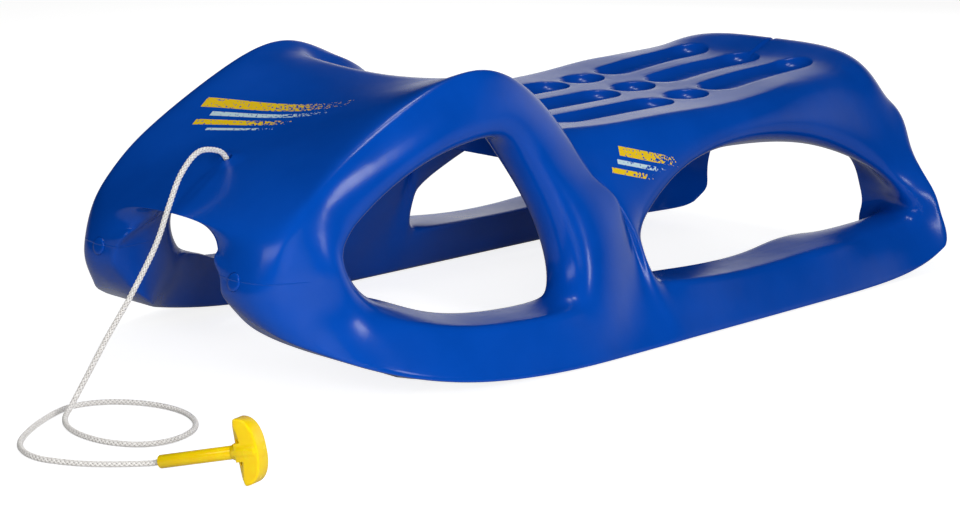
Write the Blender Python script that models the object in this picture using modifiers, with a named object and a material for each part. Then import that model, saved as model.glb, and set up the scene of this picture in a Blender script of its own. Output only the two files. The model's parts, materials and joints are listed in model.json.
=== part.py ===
"""A child's blow-moulded snow sled with steel runner strips, a braided tow rope and a T-handle.

Metres, +Z up. The nose points along -Y, +X is the rider's left, and the origin lies on the snow
under the middle of the moulded body.
"""

import math

import bmesh
import bpy
from mathutils import Matrix, Vector

MM = 0.001

# Fits
FIT_GAP = 0.3 * MM
OVERRUN = 3 * MM
WELD = 0.01 * MM

# Moulded body
LENGTH = 822 * MM
HALF_WIDTH = 220.8 * MM
HEIGHT = 258 * MM
WALL = 48 * MM

# Stations of the moulding from nose to tail. y follows LENGTH, x follows HALF_WIDTH, z follows HEIGHT.
# y, x and z: the outer skin at centre line, deck edge, shoulder, upper, middle and lower side, foot.
# lining: the under skin at centre line, quarter and corner (x, y, z), then its sides (y, z), which lie
# a wall share behind the outer skin.
STATION_SHARES = (
    # Nose
    {
        "y": (-0.495, -0.49, -0.49, -0.494, -0.501, -0.503, -0.489),
        "x": (0.0, 0.308, 0.444, 0.503, 0.525, 0.521, 0.498),
        "z": (0.581, 0.566, 0.531, 0.469, 0.411, 0.345, 0.26),
        "lining_y": (-0.486, -0.486, -0.486, -0.494, -0.501, -0.503, -0.489),
        "lining_x": (0.0, 0.145, 0.226),
        "lining_z": (0.581, 0.562, 0.516, 0.481, 0.419, 0.357, 0.298),
        "wall": (1.104, 0.958, 0.854, 0.667),
    },
    # Behind the nose
    {
        "y": (-0.45, -0.445, -0.445, -0.453, -0.461, -0.461, -0.453),
        "x": (0.0, 0.444, 0.553, 0.584, 0.616, 0.648, 0.688),
        "z": (0.671, 0.663, 0.632, 0.562, 0.446, 0.302, 0.186),
        "lining_y": (-0.445, -0.445, -0.448, -0.453, -0.461, -0.461, -0.453),
        "lining_x": (0.0, 0.163, 0.263),
        "lining_z": (0.581, 0.566, 0.535, 0.504, 0.446, 0.302, 0.186),
        "wall": (1.5, 1.458, 1.458, 1.5),
    },
    # Front end of the front window
    {
        "y": (-0.4, -0.394, -0.397, -0.397, -0.416, -0.402, -0.397),
        "x": (0.0, 0.471, 0.607, 0.643, 0.675, 0.738, 0.851),
        "z": (0.744, 0.775, 0.74, 0.562, 0.438, 0.283, 0.105),
        "lining_y": (-0.394, -0.394, -0.397, -0.392, -0.406, -0.397, -0.397),
        "lining_x": (0.0, 0.208, 0.353),
        "lining_z": (0.636, 0.636, 0.605, 0.558, 0.438, 0.298, 0.105),
        "wall": (1.083, 1.083, 1.125, 1.292),
    },
    # Hood
    {
        "y": (-0.303, -0.297, -0.301, -0.303, -0.309, -0.303, -0.309),
        "x": (0.0, 0.489, 0.611, 0.657, 0.77, 0.842, 0.947),
        "z": (0.853, 0.926, 0.884, 0.736, 0.465, 0.202, 0.035),
        "lining_y": (-0.303, -0.303, -0.303, -0.303, -0.309, -0.303, -0.309),
        "lining_x": (0.0, 0.281, 0.408),
        "lining_z": (0.721, 0.736, 0.713, 0.682, 0.465, 0.205, 0.035),
        "wall": (1.0, 1.042, 1.042, 1.25),
    },
    # Rear rim of the hood
    {
        "y": (-0.207, -0.205, -0.202, -0.202, -0.2, -0.212, -0.212),
        "x": (0.0, 0.485, 0.607, 0.657, 0.761, 0.883, 0.983),
        "z": (0.922, 0.984, 0.953, 0.787, 0.504, 0.171, 0.006),
        "lining_y": (-0.207, -0.207, -0.205, -0.202, -0.2, -0.212, -0.212),
        "lining_x": (0.0, 0.317, 0.417),
        "lining_z": (0.806, 0.826, 0.853, 0.787, 0.504, 0.155, 0.006),
        "wall": (0.917, 1.0, 1.0, 1.25),
    },
    # Arch beside the leg opening
    {
        "y": (-0.139, -0.129, -0.127, -0.149, -0.114, -0.129, -0.139),
        "x": (0.0, 0.503, 0.62, 0.67, 0.77, 0.883, 1.0),
        "z": (0.814, 0.891, 0.853, 0.69, 0.45, 0.194, 0.005),
        "lining_y": (-0.139, -0.132, -0.132, -0.151, -0.118, -0.127, -0.136),
        "lining_x": (0.0, 0.389, 0.444),
        "lining_z": (0.705, 0.818, 0.764, 0.69, 0.45, 0.174, 0.005),
        "wall": (1.0, 1.042, 1.042, 1.25),
    },
    # Front of the seat, proud edge of the arch
    {
        "y": (-0.073, -0.073, -0.08, -0.061, -0.037, -0.059, -0.073),
        "x": (0.0, 0.512, 0.639, 0.702, 0.774, 0.883, 1.0),
        "z": (0.709, 0.756, 0.705, 0.574, 0.438, 0.174, 0.005),
        "lining_y": (-0.066, -0.066, -0.068, -0.061, -0.037, -0.059, -0.073),
        "lining_x": (0.0, 0.317, 0.43),
        "lining_z": (0.601, 0.609, 0.589, 0.558, 0.438, 0.174, 0.005),
        "wall": (1.125, 1.125, 1.042, 1.25),
    },
    # Front of the seat, panel behind the arch
    {
        "y": (-0.061, -0.061, -0.069, -0.05, -0.027, -0.022, -0.017),
        "x": (0.0, 0.512, 0.602, 0.67, 0.743, 0.883, 1.0),
        "z": (0.713, 0.736, 0.686, 0.566, 0.43, 0.174, 0.005),
        "lining_y": (-0.054, -0.054, -0.056, -0.05, -0.027, -0.022, -0.017),
        "lining_x": (0.0, 0.317, 0.43),
        "lining_z": (0.601, 0.609, 0.589, 0.558, 0.43, 0.174, 0.005),
        "wall": (0.958, 0.958, 1.042, 1.25),
    },
    # Front end of the rear window
    {
        "y": (0.01, 0.01, 0.01, 0.01, -0.01, 0.005, 0.019),
        "x": (0.0, 0.525, 0.616, 0.743, 0.806, 0.865, 1.0),
        "z": (0.721, 0.729, 0.682, 0.422, 0.31, 0.194, 0.005),
        "lining_y": (0.01, 0.01, 0.01, 0.01, -0.01, 0.005, 0.019),
        "lining_x": (0.0, 0.326, 0.444),
        "lining_z": (0.597, 0.605, 0.581, 0.422, 0.31, 0.182, 0.005),
        "wall": (1.0, 1.0, 1.021, 1.25),
    },
    # Seat
    {
        "y": (0.104, 0.104, 0.104, 0.102, 0.104, 0.104, 0.104),
        "x": (0.0, 0.548, 0.63, 0.684, 0.77, 0.879, 1.0),
        "z": (0.725, 0.733, 0.69, 0.554, 0.388, 0.167, 0.005),
        "lining_y": (0.104, 0.104, 0.104, 0.102, 0.104, 0.104, 0.104),
        "lining_x": (0.0, 0.326, 0.444),
        "lining_z": (0.589, 0.597, 0.589, 0.554, 0.388, 0.155, 0.005),
        "wall": (1.0, 1.0, 1.021, 1.25),
    },
    # Seat at its widest
    {
        "y": (0.226, 0.226, 0.226, 0.219, 0.226, 0.226, 0.226),
        "x": (0.0, 0.58, 0.661, 0.666, 0.77, 0.879, 1.0),
        "z": (0.74, 0.74, 0.698, 0.603, 0.388, 0.165, 0.005),
        "lining_y": (0.226, 0.226, 0.226, 0.219, 0.226, 0.226, 0.226),
        "lining_x": (0.0, 0.326, 0.444),
        "lining_z": (0.589, 0.597, 0.589, 0.558, 0.388, 0.155, 0.005),
        "wall": (1.0, 1.0, 1.021, 1.25),
    },
    # Rear window, seat drawing in
    {
        "y": (0.348, 0.348, 0.348, 0.35, 0.348, 0.348, 0.342),
        "x": (0.0, 0.512, 0.652, 0.693, 0.77, 0.879, 1.0),
        "z": (0.775, 0.775, 0.709, 0.547, 0.388, 0.167, 0.005),
        "lining_y": (0.348, 0.348, 0.348, 0.36, 0.348, 0.348, 0.342),
        "lining_x": (0.0, 0.317, 0.426),
        "lining_z": (0.605, 0.605, 0.574, 0.539, 0.388, 0.165, 0.005),
        "wall": (1.0, 1.0, 1.021, 1.25),
    },
    # Rear end of the rear window
    {
        "y": (0.439, 0.435, 0.435, 0.44, 0.467, 0.452, 0.435),
        "x": (0.0, 0.444, 0.657, 0.77, 0.833, 0.874, 0.996),
        "z": (0.791, 0.798, 0.694, 0.403, 0.287, 0.19, 0.017),
        "lining_y": (0.435, 0.435, 0.435, 0.445, 0.469, 0.455, 0.435),
        "lining_x": (0.0, 0.272, 0.38),
        "lining_z": (0.605, 0.589, 0.535, 0.403, 0.287, 0.198, 0.017),
        "wall": (1.0, 1.021, 1.042, 1.417),
    },
    # Tail
    {
        "y": (0.49, 0.489, 0.49, 0.495, 0.497, 0.496, 0.491),
        "x": (0.0, 0.371, 0.62, 0.77, 0.906, 0.96, 1.001),
        "z": (0.826, 0.802, 0.667, 0.481, 0.322, 0.221, 0.109),
        "lining_y": (0.486, 0.486, 0.486, 0.502, 0.507, 0.507, 0.5),
        "lining_x": (0.0, 0.181, 0.272),
        "lining_z": (0.55, 0.527, 0.481, 0.403, 0.279, 0.186, 0.109),
        "wall": (1.667, 2.083, 2.292, 2.312),
    },
)
FOOT_ROW = 6
SHOULDER_ROW = 2
SIDE_ROWS = (3, 4, 5, 6)
WINDOW_ROWS = (3, 4)
FRONT_WINDOW_STATIONS = (2, 5)
REAR_WINDOW_STATIONS = (8, 12)
LEG_STATIONS = (4, 6)
ARCH_STATION = 6
SEAT_STATIONS = (6, 11)
FOOT_CREASE = 0.7
ARCH_CREASE = 0.8
SEAT_CREASE = 0.75
TAIL_CREASE = 0.5
SETTLING_PASSES = 7
SETTLING_GAIN = 0.6
LINING_FACES_KEPT = 0.8

# Recesses pressed into the seat: three columns of slot, dimple and slot
RECESS_WIDTH = 45 * MM
RECESS_DEPTH = 9 * MM
RECESS_MOUTH = 6 * MM
RECESS_DRAFT = 3 * MM
RECESS_FLOOR_ROUNDING = 5 * MM
COLUMN_SPACING = 69.5 * MM
FRONT_SLOT_SHARES = ((-0.027, 0.719), (0.174, 0.732))
DIMPLE_SHARES = ((0.1822, 0.735), (0.237, 0.742))
REAR_SLOT_SHARES = ((0.2455, 0.745), (0.436, 0.803))
DRAIN_RADIUS = 4.5 * MM
DRAIN_SHARES = ((0.42, 0.803), (0.457, 0.814), (0.477, 0.825), (0.492, 0.822), (0.515, 0.79))

# Steel runner strips let into the feet, with their countersunk screws
STRIP_WIDTH = 20 * MM
STRIP_THICKNESS = 2 * MM
STRIP_INSET = 44.8 * MM
STRIP_X = HALF_WIDTH - STRIP_INSET
GROOVE_REACH = 12 * MM
STRIP_PROFILE_SHARES = (
    (-0.39, 0.0953),
    (-0.37, 0.0771),
    (-0.346, 0.059),
    (-0.309, 0.0368),
    (-0.273, 0.0217),
    (-0.236, 0.0106),
    (-0.2, 0.0039),
    (-0.163, 0.0007),
    (-0.127, 0.0),
    (0.245, 0.0),
    (0.275, 0.0003),
    (0.311, 0.0007),
    (0.348, 0.0027),
    (0.384, 0.0072),
    (0.421, 0.0184),
    (0.445, 0.0327),
)
SCREW_Y_SHARES = (-0.145, 0.065, 0.275)
SCREW_HEAD = 7.6 * MM
SCREW_SHANK = 3.8 * MM
SCREW_LENGTH = 16 * MM
SCREW_TIP = 3 * MM

# Plugs pressed into the two blow holes of the noses
PLUG_DIAMETER = 15.5 * MM
PLUG_DEPTH = 9 * MM
PLUG_CROWN = 1.2 * MM
PLUG_RIM_SHARES = ((0.7, 1.0), (0.93, 0.6), (1.0, 0.0))
PLUG_X_SHARE = 0.422
PLUG_LEAN = math.radians(18)
PLUG_Z_SHARE = 0.407

# Tow rope, its tunnel through the hood and its knots
ROPE_DIAMETER = 5 * MM
ROPE_STEP = 12.5 * MM
ROUTE_FINENESS = 6
ROPE_NEIGHBOURS = 4
TUNNEL_DIAMETER = 8 * MM
TUNNEL_MOUTH = 12 * MM
TUNNEL_MOUTH_DEPTH = 4 * MM
TUNNEL_Y_SHARE = -0.42
TUNNEL_LEAN = math.radians(25)
TUNNEL_OVERRUN = 10 * MM
KNOT_DIAMETER = 11.4 * MM
KNOT_LENGTH = 12 * MM
KNOT_SEATING = 0.8 * MM
KNOT_STRANDS = 3
KNOT_RELIEF_SHARE = 0.12
# The free rope from the tunnel's mouth to the sleeve, chosen by hand
ROPE_ROUTE = (
    (0.001, -0.356, 0.1940),
    (0.004, -0.379, 0.1960),
    (0.007, -0.400, 0.1800),
    (0.009, -0.415, 0.1550),
    (0.012, -0.432, 0.1250),
    (0.016, -0.461, 0.0890),
    (0.019, -0.489, 0.0580),
    (0.022, -0.509, 0.0350),
    (0.026, -0.530, 0.0120),
    (0.039, -0.547, 0.0042),
    (0.068, -0.557, 0.0029),
    (0.103, -0.555, 0.0029),
    (0.129, -0.540, 0.0029),
    (0.138, -0.516, 0.0029),
    (0.129, -0.488, 0.0029),
    (0.106, -0.469, 0.0029),
    (0.075, -0.462, 0.0029),
    (0.042, -0.470, 0.0029),
    (0.016, -0.491, 0.0029),
    (0.007, -0.520, 0.0029),
    (0.022, -0.556, 0.0029),
    (0.048, -0.592, 0.0029),
    (0.072, -0.611, 0.0029),
    (0.101, -0.616, 0.0029),
    (0.131, -0.604, 0.0030),
    (0.155, -0.588, 0.0038),
)

# T-handle
SLEEVE_DIAMETER = 10.4 * MM
SLEEVE_BORE = 6.6 * MM
SLEEVE_LENGTH = 66 * MM
SLEEVE_ROUNDING = 1 * MM
SLEEVE_TRAVEL = 12 * MM
SLEEVE_END = Vector((0.1887, -0.5645, 0.0083))
SLEEVE_DIRECTION = Vector((0.896, 0.352, 0.240)).normalized()
BAR_LENGTH = 51 * MM
BAR_DEPTH = 24 * MM
BAR_THICKNESS = 17 * MM
BAR_WALL = 2.2 * MM
BAR_ROUNDING = 3 * MM
BAR_FULLNESS = 2.4
BAR_TIP_SET_BACK = 7.5 * MM
BAR_STEPS = 16
HUB_WIDTH = 14 * MM
HUB_DEPTH = 5 * MM
BAR_ROLL = math.radians(-4)

ARC_STEPS = 8
ROUND_STEPS = 24


def clear_scene():
    """Removes whatever the startup scene holds."""
    for item in list(bpy.data.objects):
        bpy.data.objects.remove(item)


def plain_material(name, colour, roughness, metallic=0.0):
    """A material of one colour, one roughness and one metallic value."""
    material = bpy.data.materials.new(name)
    material.use_nodes = True
    shader = material.node_tree.nodes["Principled BSDF"]
    shader.inputs["Base Color"].default_value = (*colour, 1)
    shader.inputs["Roughness"].default_value = roughness
    shader.inputs["Metallic"].default_value = metallic
    return material


def link_object(name, data, collection, material=None):
    """A new object in the collection, with its material."""
    item = bpy.data.objects.new(name, data)
    collection.objects.link(item)
    if material:
        data.materials.append(material)
    return item


def mesh_from(bm, name):
    """The bmesh as mesh data whose faces point out."""
    bmesh.ops.recalc_face_normals(bm, faces=bm.faces)
    mesh = bpy.data.meshes.new(name)
    bm.to_mesh(mesh)
    bm.free()
    return mesh


def hide_cutter(cutter):
    """Leaves a cutter out of renders, and draws it as wire."""
    cutter.hide_render = True
    cutter.display_type = "WIRE"
    return cutter


def cut(item, cutter):
    """Cuts a solid away, and leaves the modifier in place."""
    boolean = item.modifiers.new(cutter.name, "BOOLEAN")
    boolean.operation = "DIFFERENCE"
    boolean.solver = "EXACT"
    boolean.object = cutter


def looking_along(direction, point, roll=0.0):
    """A matrix whose +Z follows the direction, with its +X as level as the direction allows."""
    turn = direction.to_track_quat("Z", "Y").to_matrix().to_4x4()
    return Matrix.Translation(point) @ turn @ Matrix.Rotation(roll, 4, "Z")


def turned(name, profile, collection, material=None, steps=ROUND_STEPS):
    """A solid of revolution about its own Z, from (radius, height) points from top to bottom."""
    bm = bmesh.new()
    points = [bm.verts.new((radius, 0, height)) for radius, height in profile]
    for first, second in zip(points, points[1:]):
        bm.edges.new((first, second))
    mesh = bpy.data.meshes.new(name)
    bm.to_mesh(mesh)
    bm.free()
    item = link_object(name, mesh, collection, material)
    screw = item.modifiers.new("turn", "SCREW")
    screw.steps = screw.render_steps = steps
    screw.use_merge_vertices = True
    screw.merge_threshold = WELD
    return item


def smooth_route(route, step):
    """Evenly spaced points along a smooth curve through the route's points."""
    ends = [route[0] * 2 - route[1], *route, route[-1] * 2 - route[-2]]
    fine = []
    for before, start, end, after in zip(ends, ends[1:], ends[2:], ends[3:]):
        pieces = max(2, math.ceil((end - start).length * ROUTE_FINENESS / step))
        for i in range(pieces):
            t = i / pieces
            rise = (end - before) / 2
            fall = (after - start) / 2
            cubic = (
                start * (2 * t**3 - 3 * t**2 + 1)
                + rise * (t**3 - 2 * t**2 + t)
                + end * (3 * t**2 - 2 * t**3)
                + fall * (t**3 - t**2)
            )
            fine.append(cubic)
    fine.append(route[-1])
    lengths = [0.0]
    for first, second in zip(fine, fine[1:]):
        lengths.append(lengths[-1] + (second - first).length)
    count = round(lengths[-1] / step)
    spaced = [fine[0]]
    index = 0
    for i in range(1, count):
        target = lengths[-1] * i / count
        while lengths[index + 1] < target:
            index += 1
        part = (target - lengths[index]) / (lengths[index + 1] - lengths[index])
        spaced.append(fine[index].lerp(fine[index + 1], part))
    spaced.append(fine[-1])
    return spaced, lengths[-1]


def tube(name, points, diameter, collection, material=None):
    """A round bar along the points, with its ends closed."""
    curve = bpy.data.curves.new(name, "CURVE")
    curve.dimensions = "3D"
    curve.bevel_depth = diameter / 2
    curve.bevel_resolution = 2
    curve.use_fill_caps = True
    spline = curve.splines.new("POLY")
    spline.points.add(len(points) - 1)
    for knot, point in zip(spline.points, points):
        knot.co = (*point, 1)
    return link_object(name, curve, collection, material)


def as_mesh(item, collection):
    """The curve object as a welded mesh object of the same name."""
    bpy.context.view_layer.update()
    graph = bpy.context.evaluated_depsgraph_get()
    mesh = bpy.data.meshes.new_from_object(item.evaluated_get(graph))
    bm = bmesh.new()
    bm.from_mesh(mesh)
    bmesh.ops.remove_doubles(bm, verts=bm.verts, dist=WELD)
    bm.to_mesh(mesh)
    bm.free()
    name = item.name
    world = item.matrix_world.copy()
    bpy.data.objects.remove(item)
    solid = link_object(name, mesh, collection)
    solid.matrix_world = world
    return solid


def skins_of(station):
    """The outer and the under skin's points of one station."""
    outer = [
        Vector((x * HALF_WIDTH, y * LENGTH, z * HEIGHT))
        for x, y, z in zip(station["x"], station["y"], station["z"])
    ]
    sides = [outer[row].x - share * WALL for row, share in zip(SIDE_ROWS, station["wall"])]
    across = [share * HALF_WIDTH for share in station["lining_x"]] + sides
    lining = [
        Vector((x, y * LENGTH, z * HEIGHT))
        for x, y, z in zip(across, station["lining_y"], station["lining_z"])
    ]
    return outer, lining


def is_open(station, row):
    """Whether the cell behind this station and below this row is one of the openings."""
    for start, end in (FRONT_WINDOW_STATIONS, REAR_WINDOW_STATIONS):
        if start <= station < end and row in WINDOW_ROWS:
            return True
    return LEG_STATIONS[0] <= station < LEG_STATIONS[1] and row == 0


def body_cage():
    """One half of the moulding as a coarse cage: two skins, joined at the feet, ends and openings."""
    bm = bmesh.new()
    crease = bm.edges.layers.float.new("crease_edge")
    outer = []
    lining = []
    for station in STATION_SHARES:
        skin, under = skins_of(station)
        outer.append([bm.verts.new(point) for point in skin])
        lining.append([bm.verts.new(point) for point in under])
    last = len(STATION_SHARES) - 1
    for i in range(last):
        for row in range(FOOT_ROW):
            here = (i, row)
            after = (i + 1, row)
            if not is_open(*here):
                for skin in (outer, lining):
                    bm.faces.new((skin[i][row], skin[i + 1][row], skin[i + 1][row + 1], skin[i][row + 1]))
                continue
            sides = (
                ((i - 1, row), here, (i, row + 1)),
                ((i + 1, row), after, (i + 1, row + 1)),
                ((i, row - 1), here, after),
                ((i, row + 1), (i, row + 1), (i + 1, row + 1)),
            )
            for neighbour, start, end in sides:
                if neighbour[1] >= 0 and not is_open(*neighbour):
                    (a, b), (c, d) = start, end
                    bm.faces.new((outer[a][b], outer[c][d], lining[c][d], lining[a][b]))
        foot = ((outer, i), (outer, i + 1), (lining, i + 1), (lining, i))
        bm.faces.new([skin[station][FOOT_ROW] for skin, station in foot])
        for skin in (outer, lining):
            bm.edges.get((skin[i][FOOT_ROW], skin[i + 1][FOOT_ROW]))[crease] = FOOT_CREASE
    for end in (0, last):
        for row in range(FOOT_ROW):
            bm.faces.new((outer[end][row], outer[end][row + 1], lining[end][row + 1], lining[end][row]))
    for i in range(*SEAT_STATIONS):
        bm.edges.get((outer[i][1], outer[i + 1][1]))[crease] = SEAT_CREASE
    for row in range(1, WINDOW_ROWS[-1]):
        bm.edges.get((outer[ARCH_STATION][row], outer[ARCH_STATION][row + 1]))[crease] = ARCH_CREASE
    for row in range(SHOULDER_ROW, FOOT_ROW):
        bm.edges.get((outer[last][row], outer[last][row + 1]))[crease] = TAIL_CREASE
    for loose in [vert for vert in bm.verts if not vert.link_faces]:
        bm.verts.remove(loose)
    return bm, outer, lining


def settle(cage, kept_heights):
    """Moves the cage's points until the rounded skin runs close to the stations' points."""
    wanted = [vert.co.copy() for vert in cage.data.vertices]
    for _ in range(SETTLING_PASSES):
        graph = bpy.context.evaluated_depsgraph_get()
        rounded = cage.evaluated_get(graph)
        skin = rounded.to_mesh()
        found = [skin.vertices[i].co.copy() for i in range(len(wanted))]
        rounded.to_mesh_clear()
        for vert, target, now in zip(cage.data.vertices, wanted, found):
            move = (target - now) * SETTLING_GAIN
            if vert.index in kept_heights:
                move.z = 0
            if target.x == 0:
                move.x = 0
            vert.co += move
        cage.data.update()


def moulded_body(parts, material):
    """The hollow moulding's outer form, with fewer faces on the under side that nobody sees."""
    bm, outer, lining = body_cage()
    bm.verts.index_update()
    feet = {column[FOOT_ROW].index for skin in (outer, lining) for column in skin}
    under = {vert.index for column in lining for vert in column if vert.is_valid}
    body = link_object("body_shell", mesh_from(bm, "body_shell"), parts, material)
    mirror = body.modifiers.new("other half", "MIRROR")
    mirror.use_clip = True
    mirror.merge_threshold = WELD
    rounding = body.modifiers.new("rounding", "SUBSURF")
    rounding.levels = rounding.render_levels = 2
    settle(body, feet)
    group = body.vertex_groups.new(name="lining")
    group.add(sorted(under - feet), 1.0, "REPLACE")
    thinning = body.modifiers.new("fewer faces inside", "DECIMATE")
    thinning.ratio = LINING_FACES_KEPT
    thinning.vertex_group = group.name
    thinning.use_symmetry = True
    return body


def skins_met(body, start, direction):
    """The two places where a straight line runs into the uncut moulding and out of it."""
    graph = bpy.context.evaluated_depsgraph_get()
    solid = body.evaluated_get(graph)
    _, entry, _, _ = solid.ray_cast(start, direction)
    _, leaving, _, _ = solid.ray_cast(entry + direction * WELD, direction)
    return entry, leaving


def stadium(start, end, width, inset):
    """Points round a slot with round ends between two points in plan, drawn in by the inset."""
    radius = width / 2 - inset
    low = start + width / 2
    high = end - width / 2
    points = []
    for centre, first in ((high, 0), (low, math.pi)):
        for i in range(ARC_STEPS + 1):
            angle = first + math.pi * i / ARC_STEPS
            points.append((radius * math.cos(angle), centre + radius * math.sin(angle)))
    return points


def recess(bm, x, span_shares):
    """One slot, or one round dimple where the span is as long as it is wide, sunk square to the seat."""
    (start_y, start_z), (end_y, end_z) = [(y * LENGTH, z * HEIGHT) for y, z in span_shares]
    slope = (end_z - start_z) / (end_y - start_y)
    length = max(end_y - start_y, RECESS_WIDTH + WELD)
    middle = (start_y + end_y) / 2
    levels = (
        (RECESS_MOUTH, -RECESS_DRAFT),
        (0, 0),
        (-RECESS_DEPTH + RECESS_FLOOR_ROUNDING, RECESS_DRAFT),
        (-RECESS_DEPTH, RECESS_DRAFT + RECESS_FLOOR_ROUNDING),
    )
    rings = []
    for height, inset in levels:
        outline = stadium(middle - length / 2, middle + length / 2, RECESS_WIDTH, inset)
        rings.append(
            [bm.verts.new((x + px, py, start_z + slope * (py - start_y) + height)) for px, py in outline]
        )
    for upper, lower in zip(rings, rings[1:]):
        for i in range(len(upper)):
            j = (i + 1) % len(upper)
            bm.faces.new((upper[i], upper[j], lower[j], lower[i]))
    bm.faces.new(rings[0])
    bm.faces.new(rings[-1])


def seat_recesses(body, cutters):
    """Three columns of recesses in the seat, and the groove that drains it over the tail."""
    bm = bmesh.new()
    for column in (-1, 0, 1):
        for span in (FRONT_SLOT_SHARES, DIMPLE_SHARES, REAR_SLOT_SHARES):
            recess(bm, column * COLUMN_SPACING, span)
    recesses = hide_cutter(link_object("seat_recess_cutter", mesh_from(bm, "seat_recess_cutter"), cutters))
    cut(body, recesses)
    points = [Vector((0, y * LENGTH, z * HEIGHT)) for y, z in DRAIN_SHARES]
    drain = as_mesh(tube("drain_cutter", points, DRAIN_RADIUS * 2, cutters), cutters)
    cut(body, hide_cutter(drain))


def strip_line():
    """The strip's sole from its front end, turned up with the nose, to the heel."""
    return [Vector((0, y * LENGTH, z * HEIGHT)) for y, z in STRIP_PROFILE_SHARES]


def normals_of(line):
    """Upward normals of a line in the plane of y and z."""
    normals = []
    for i in range(len(line)):
        along = (line[min(i + 1, len(line) - 1)] - line[max(i - 1, 0)]).normalized()
        normals.append(Vector((0, -along.z, along.y)))
    return normals


def strip_mesh(name, x, width, below, above, overrun=0.0):
    """A flat bar along the foot's rocker, from below to above the strip's sole."""
    line = strip_line()
    normals = normals_of(line)
    line[0] += (line[0] - line[1]).normalized() * overrun
    line[-1] += (line[-1] - line[-2]).normalized() * overrun
    bm = bmesh.new()
    rings = []
    for point, normal in zip(line, normals):
        ring = []
        for side, height in ((-1, below), (1, below), (1, above), (-1, above)):
            ring.append(bm.verts.new(point + normal * height + Vector((x + side * width / 2, 0, 0))))
        rings.append(ring)
    for first, second in zip(rings, rings[1:]):
        for i in range(4):
            j = (i + 1) % 4
            bm.faces.new((first[i], first[j], second[j], second[i]))
    bm.faces.new(rings[0])
    bm.faces.new(rings[-1])
    return mesh_from(bm, name)


def screw_poses(x):
    """Where the screws stand in the strip: square to its sole, heads down."""
    line = strip_line()
    poses = []
    for share in SCREW_Y_SHARES:
        y = share * LENGTH
        after = next((i for i, point in enumerate(line) if point.y > y), len(line) - 1)
        first, second = line[after - 1], line[after]
        along = (second - first).normalized()
        normal = Vector((0, -along.z, along.y))
        sole = first.lerp(second, (y - first.y) / (second.y - first.y))
        poses.append(looking_along(normal, sole + normal * FIT_GAP / 2 + Vector((x, 0, 0))))
    return poses


def screw_profile(grown=0.0, sunk=0.0):
    """Half of a countersunk screw standing on its head, grown by a clearance for the hole that takes it."""
    head = SCREW_HEAD / 2 + grown
    shank = SCREW_SHANK / 2 + grown
    cone = (SCREW_HEAD - SCREW_SHANK) / 2
    tip = SCREW_LENGTH + grown
    return (
        (0, tip),
        (shank / 3, tip),
        (shank, tip - SCREW_TIP),
        (shank, cone),
        (head, 0),
        (head, -sunk),
        (0, -sunk),
    )


def runner_strips(body, parts, cutters, steel, zinc):
    """A steel strip in a groove under each foot, held by three countersunk screws."""
    for side, word in ((1, "left"), (-1, "right")):
        x = side * STRIP_X
        groove_name = f"strip_groove_cutter_{word}"
        groove_width = STRIP_WIDTH + 2 * FIT_GAP
        groove = strip_mesh(groove_name, x, groove_width, -GROOVE_REACH, STRIP_THICKNESS + FIT_GAP, FIT_GAP)
        cut(body, hide_cutter(link_object(groove_name, groove, cutters)))
        strip_data = strip_mesh(f"runner_strip_{word}", x, STRIP_WIDTH, 0, STRIP_THICKNESS)
        strip = link_object(f"runner_strip_{word}", strip_data, parts, steel)
        for number, pose in enumerate(screw_poses(x), 1):
            name = f"strip_screw_{word}_{number}"
            hole = turned(f"{name}_hole_cutter", screw_profile(FIT_GAP, OVERRUN), cutters, steps=16)
            hole.matrix_world = pose
            hide_cutter(hole)
            cut(strip, hole)
            cut(body, hole)
            screw = turned(name, screw_profile(), parts, zinc, steps=16)
            screw.matrix_world = pose


def nose_plugs(body, parts, cutters, material):
    """Round plugs that close the blow holes, each a disc with a rounded rim in a blind socket."""
    radius = PLUG_DIAMETER / 2
    socket_radius = radius + FIT_GAP
    for side, word in ((1, "left"), (-1, "right")):
        ahead = Vector((side * PLUG_X_SHARE * HALF_WIDTH, -LENGTH, PLUG_Z_SHARE * HEIGHT))
        place = skins_met(body, ahead, Vector((0, 1, 0)))[0]
        pose = looking_along(Vector((0, -math.cos(PLUG_LEAN), math.sin(PLUG_LEAN))), place)
        socket_profile = (
            (0, PLUG_DEPTH),
            (socket_radius, PLUG_DEPTH),
            (socket_radius, -PLUG_DEPTH - FIT_GAP),
            (0, -PLUG_DEPTH - FIT_GAP),
        )
        socket = turned(f"plug_socket_cutter_{word}", socket_profile, cutters)
        socket.matrix_world = pose
        cut(body, hide_cutter(socket))
        rim = [(radius * across, PLUG_CROWN * up) for across, up in PLUG_RIM_SHARES]
        profile = ((0, PLUG_CROWN), *rim, (radius, -PLUG_DEPTH), (0, -PLUG_DEPTH))
        plug = turned(f"nose_plug_{word}", profile, parts, material)
        plug.matrix_world = pose


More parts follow.
